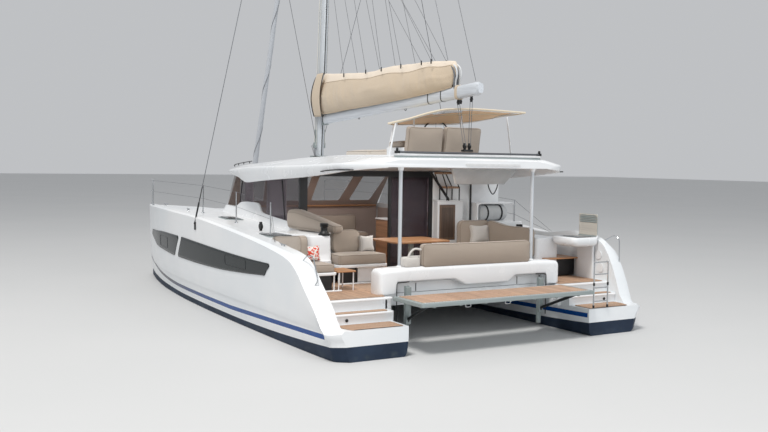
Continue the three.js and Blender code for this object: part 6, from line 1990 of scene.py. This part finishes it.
def underwater():
    # Rudder, drive leg and propeller; a foil's half thickness follows its chord share s: thick forward, sharp
    # aft
    middle, shaft = below["y"], below["shaft"]
    s = np.linspace(0, 1, 15)
    half = 2.6 * (0.2969 * s ** 0.5 - 0.126 * s - 0.3516 * s ** 2 + 0.2843 * s ** 3 - 0.1036 * s ** 4)

    def foil(levels):
        around = np.concatenate([s, s[-2:0:-1]])
        thick = np.concatenate([half, -half[-2:0:-1]])
        return skin([np.column_stack([nose - around * chord, middle + thick * wide * 2,
            np.full(len(around), z)]) for z, nose, chord, wide in levels], wrapV=True, capU=True)

    for side, turn in sides:
        rudder = merged(foil(below["rudder"]), lathe([(-0.5, 0.03), (-0.15, 0.03)], (-5.15, middle, 0), "z",
            16))
        put("rudder" + side, turn(rudder), "hull", "rudder_body_" + side.lower(), "rudder_" + side.lower())
        leg = merged(foil(below["leg"]), turned([(-4.45, 0.0), (-4.45, 0.04), (-4.38, 0.05), (-4.25, 0.05),
            (-4.17, 0.03), (-4.15, 0.0)], (0, middle, shaft), "x", 20))
        put("driveLeg" + side, turn(leg), "greyMetal", stands="drive_leg_" + side.lower())
        r = np.linspace(0.02, 0.184, 12)[:, None]
        t = np.linspace(-1, 1, 9)[None, :]
        wide = 0.052 * np.sin(np.pi * np.clip(r / 0.2, 0, 1)) ** 0.6
        twist = np.arctan(0.045 / r)
        blades = []
        for k in range(below["blades"]):
            a = 2 * np.pi * k / below["blades"] + t * wide * np.cos(twist) / np.maximum(r, 0.05)
            grid = np.stack([-4.5 + t * wide * np.sin(twist) * 0.8, middle + r * np.cos(a),
                shaft + r * np.sin(a)], -1)
            back = grid + [0.007, 0, 0]
            blades.append(skin(np.concatenate([grid, back[:, ::-1]], 1), wrapV=True, capU=True))
        hub = turned([(-4.55, 0.0), (-4.55, 0.015), (-4.53, 0.035), (-4.455, 0.042), (-4.452, 0.0)],
            (0, middle, shaft), "x", 20)
        put("propeller" + side, turn(merged(hub, *blades)), "bronze", "propeller_body_" + side.lower(),
            "propeller_" + side.lower())


# Ladder: its plane, its two rails from outside in, and the heights of rungs and grips
ladder = dict(x=-5.99, rails=(-1.96, -2.29), rungs=(0.62, 0.86, 1.10, 1.315), grips=(0.5, 0.9))


def swimLadder():
    x, (right, left) = ladder["x"], ladder["rails"]
    rails = [tube(bent([(x, y, 0.5), (x, y, 1.3), (x, y + hook, 1.325)], 0.03, 5), 0.0135, 10) for y,
        hook in ((right, -0.04), (left, 0.04))]
    rungs = [section([(x, right, z), (x, left, z)], 0.012, 0.011, (0, 2), 14) for z in ladder["rungs"]]
    grips = [lathe([(z, 0.019), (z + 0.05, 0.019)], (x, y, 0), "z", 12) for y in ladder["rails"]
        for z in ladder["grips"]]
    put("ladderTubes", [*rails, *rungs], "steel", "ladder_body", "swim_ladder")
    put("ladderGrips", grips, "black", "ladder_body")


helmWheel()
underwater()
swimLadder()
print("wheel, rudders and ladder")


def saloonInside():
    # Lining, sole, screen shelf, furniture, galley worktop and hob
    lining = [box((1.545, -1.84, 0.86), (1.556, 1.84, 1.98)), box((-2.05, 1.845, 0.86), (1.5, 1.855, 1.93)),
        box((-2.05, -1.855, 0.86), (1.5, -1.845, 1.93))]
    put("saloonPanels", lining, "lining", bevel=0.003)
    put("saloonSole", box((-2.08, -1.7, 0.842), (1.3, 1.7, 0.85)), "furniture")
    dash = tile((1.45, -1.8, 1.965), (1.8, 1.8, 1.995), 0.04)
    put("screenShelf", dash, "wood", bevel=0.008, slot="wood")
    units = [box((-1.88, -1.84, 0.85), (0.58, -1.28, 1.7))] + [box((x, -1.277, 0.9), (x + 0.54, -1.262, 1.66))
        for x in np.linspace(-1.86, 0.02, 4)]
    frame = [box((-0.2, 0.9, 0.85), (1.56, 1.5, 1.27)), box((0.75, -1.24, 0.85), (1.56, 1.5, 1.27)),
        box((1.50, -1.24, 1.27), (1.555, 1.5, 1.70))]
    put("saloonUnits", [*units, *frame], "furniture", stands="saloon_furniture", bevel=0.006)
    top = tile((-1.9, -1.84, 1.702), (0.6, -1.25, 1.735), 0.04)
    put("galleyTop", top, "white", bevel=0.006)
    hob = [tile((-1.2, -1.72, 1.735), (-0.6, -1.36, 1.742), 0.03),
        *(lathe([(1.74, 0.05), (1.752, 0.05)], (x, y, 0), "z", 16) for x in (-1.05, -0.75) for y in (-1.63,
        -1.45))]
    put("galleyHob", hob, "black", bevel=0.002)


def tableAndCabinetDoor():
    board = tile((-3.75, -0.45, 1.541), (-2.75, 0.78, 1.574), 0.14, 7)
    put("tableTop", board, "wood", stands="cockpit_table", bevel=0.01, steps=3)
    stem = lathe([(0.853, 0.17), (0.87, 0.17), (0.885, 0.06), (1.5, 0.05), (1.52, 0.12), (1.541, 0.12)],
        (-3.25, 0.16, 0), "z", 28)
    put("tableLeg", stem, "greyMetal")
    leafBox = [box((-2.4, -1.45, 1.45), (-2.385, -1.06, 2.17)), box((-2.386, -1.40, 1.5),
        (-2.376, -1.11, 2.12))]
    put("cabinetLeaf", leafBox, "door", "cabinet_door_body", "cabinet_door", bevel=0.004)


# Door leaves: x of both faces; their two edges in y, the glass's frame and their two ends in z
doors = dict(leaves=(("inner", -2.152, -2.126), ("outer", -2.118, -2.092)), y=(-0.92, 0.0), z=(0.87, 2.74))


def doorLeaves():
    (right, left), (foot, head) = doors["y"], doors["z"]
    for leaf, x0, x1 in doors["leaves"]:
        bars = [box((x0, right, foot), (x1, right + 0.05, head)), box((x0, left - 0.05, foot),
            (x1, left, head)), box((x0, right + 0.04, foot), (x1, left - 0.04, foot + 0.08)),
            box((x0, right + 0.04, head - 0.06), (x1, left - 0.04, head)),
            roundBox((x0 - 0.006, right + 0.025, 1.7), (x0 + 0.004, right + 0.045, 1.95), 0.005, 2)]
        put("doorFrame" + leaf.title(), bars, "frame", "door_body_" + leaf, "door_leaf_" + leaf, bevel=0.003,
            steps=1)
        middle = (x0 + x1) / 2
        pane = box((middle - 0.003, right + 0.045, foot + 0.07), (middle + 0.003, left - 0.045, head - 0.05))
        put("doorPane" + leaf.title(), pane, "saloonGlass", "door_body_" + leaf, smooth=False)


# Curtains: upper edge, middle line and wave; each kind with x from and to, lower edge and folds
curtains = dict(head=2.728, y=1.935, wave=0.018, sets=(("Fore", 0.26, 0.72, 2.0, 7),
    ("Aft", -1.45, -0.45, 1.86, 13)))


def curtainSet():
    c = curtains
    rails = bothSides(line((0.74, c["y"], 2.735), (-1.5, c["y"], 2.735), 0.009))
    put("curtainRails", rails, "steel")
    for side, turn in sides:
        for kind, x0, x1, low, folds in c["sets"]:
            u, v = np.meshgrid(np.linspace(0, 1, 90), np.linspace(0, 1, 14), indexing="ij")
            x = x0 + (x1 - x0) * u + 0.01 * np.sin(v * 5 + u * 9)
            y = c["y"] + c["wave"] * np.sin(2 * np.pi * folds * u + 0.4 * np.sin(3 * v)) * (0.55 + 0.45 * v)
            grid = np.stack([x, y, c["head"] - (c["head"] - low) * v], -1)
            hanging = make("curtain" + kind + side, turn(skin(grid)), paint["curtain"], wall=0.0015)
            hanging.data.shade_smooth()
            wide = lengthOf(grid[:, 7])
            (hanging or hanging)


saloonInside()
tableAndCabinetDoor()
doorLeaves()
curtainSet()
print("saloon inside")


# Floor and light: each lamp's place, power, extent and tint
studioSet = dict(floor=160, grey=(0.62, 0.62, 0.62), sky=(0.95, 0.97, 1.0, 1), glow=0.55,
    lamps=(("keyLight", (-14, 14, 34), 9700, 9, (1.0, 0.975, 0.94)), ("fillLight", (-30, -6, 12), 1500, 16,
    (0.95, 0.98, 1.0)), ("saloonLight", (-0.4, 0.1, 2.68), 34, 2.2, (1.0, 0.97, 0.95)),
    ("cockpitLight", (-3.6, 0.3, 2.8), 30, 1.6, (1.0, 0.98, 0.94))))


def studio():
    size = studioSet["floor"]
    floor = skin(np.array([[[-size, -size, 0.0], [-size, size, 0.0]],
        [[size, -size, 0.0], [size, size, 0.0]]]))
    f = Finish("paleFloor", studioSet["grey"], 0.85)
    f.set("Base Color", f.mix(f.noise(0.2, 2), (0.59, 0.6, 0.6), (0.64, 0.64, 0.64)))
    mesh = bpy.data.meshes.new("floor")
    mesh.from_pydata(floor[0].tolist(), [], floor[1])
    piece = bpy.data.objects.new("floor", mesh)
    scene.collection.objects.link(piece)
    mesh.materials.append(f.material)
    world = bpy.data.worlds.new("studio")
    scene.world = world
    world.use_nodes = True
    sky = world.node_tree.nodes["Background"].inputs
    sky[0].default_value, sky[1].default_value = studioSet["sky"], studioSet["glow"]
    scene.view_settings.view_transform = "Standard"
    for name, place, power, extent, tint in studioSet["lamps"]:
        light = bpy.data.lights.new(name, "AREA")
        light.energy, light.size, light.color = power, extent, tint
        lamp = bpy.data.objects.new(name, light)
        scene.collection.objects.link(lamp)
        lamp.location = place
        aim = -Vector(place) if power > 1000 else Vector((0, 0, -1))
        lamp.rotation_euler = aim.to_track_quat("-Z", "Y").to_euler()


studio()
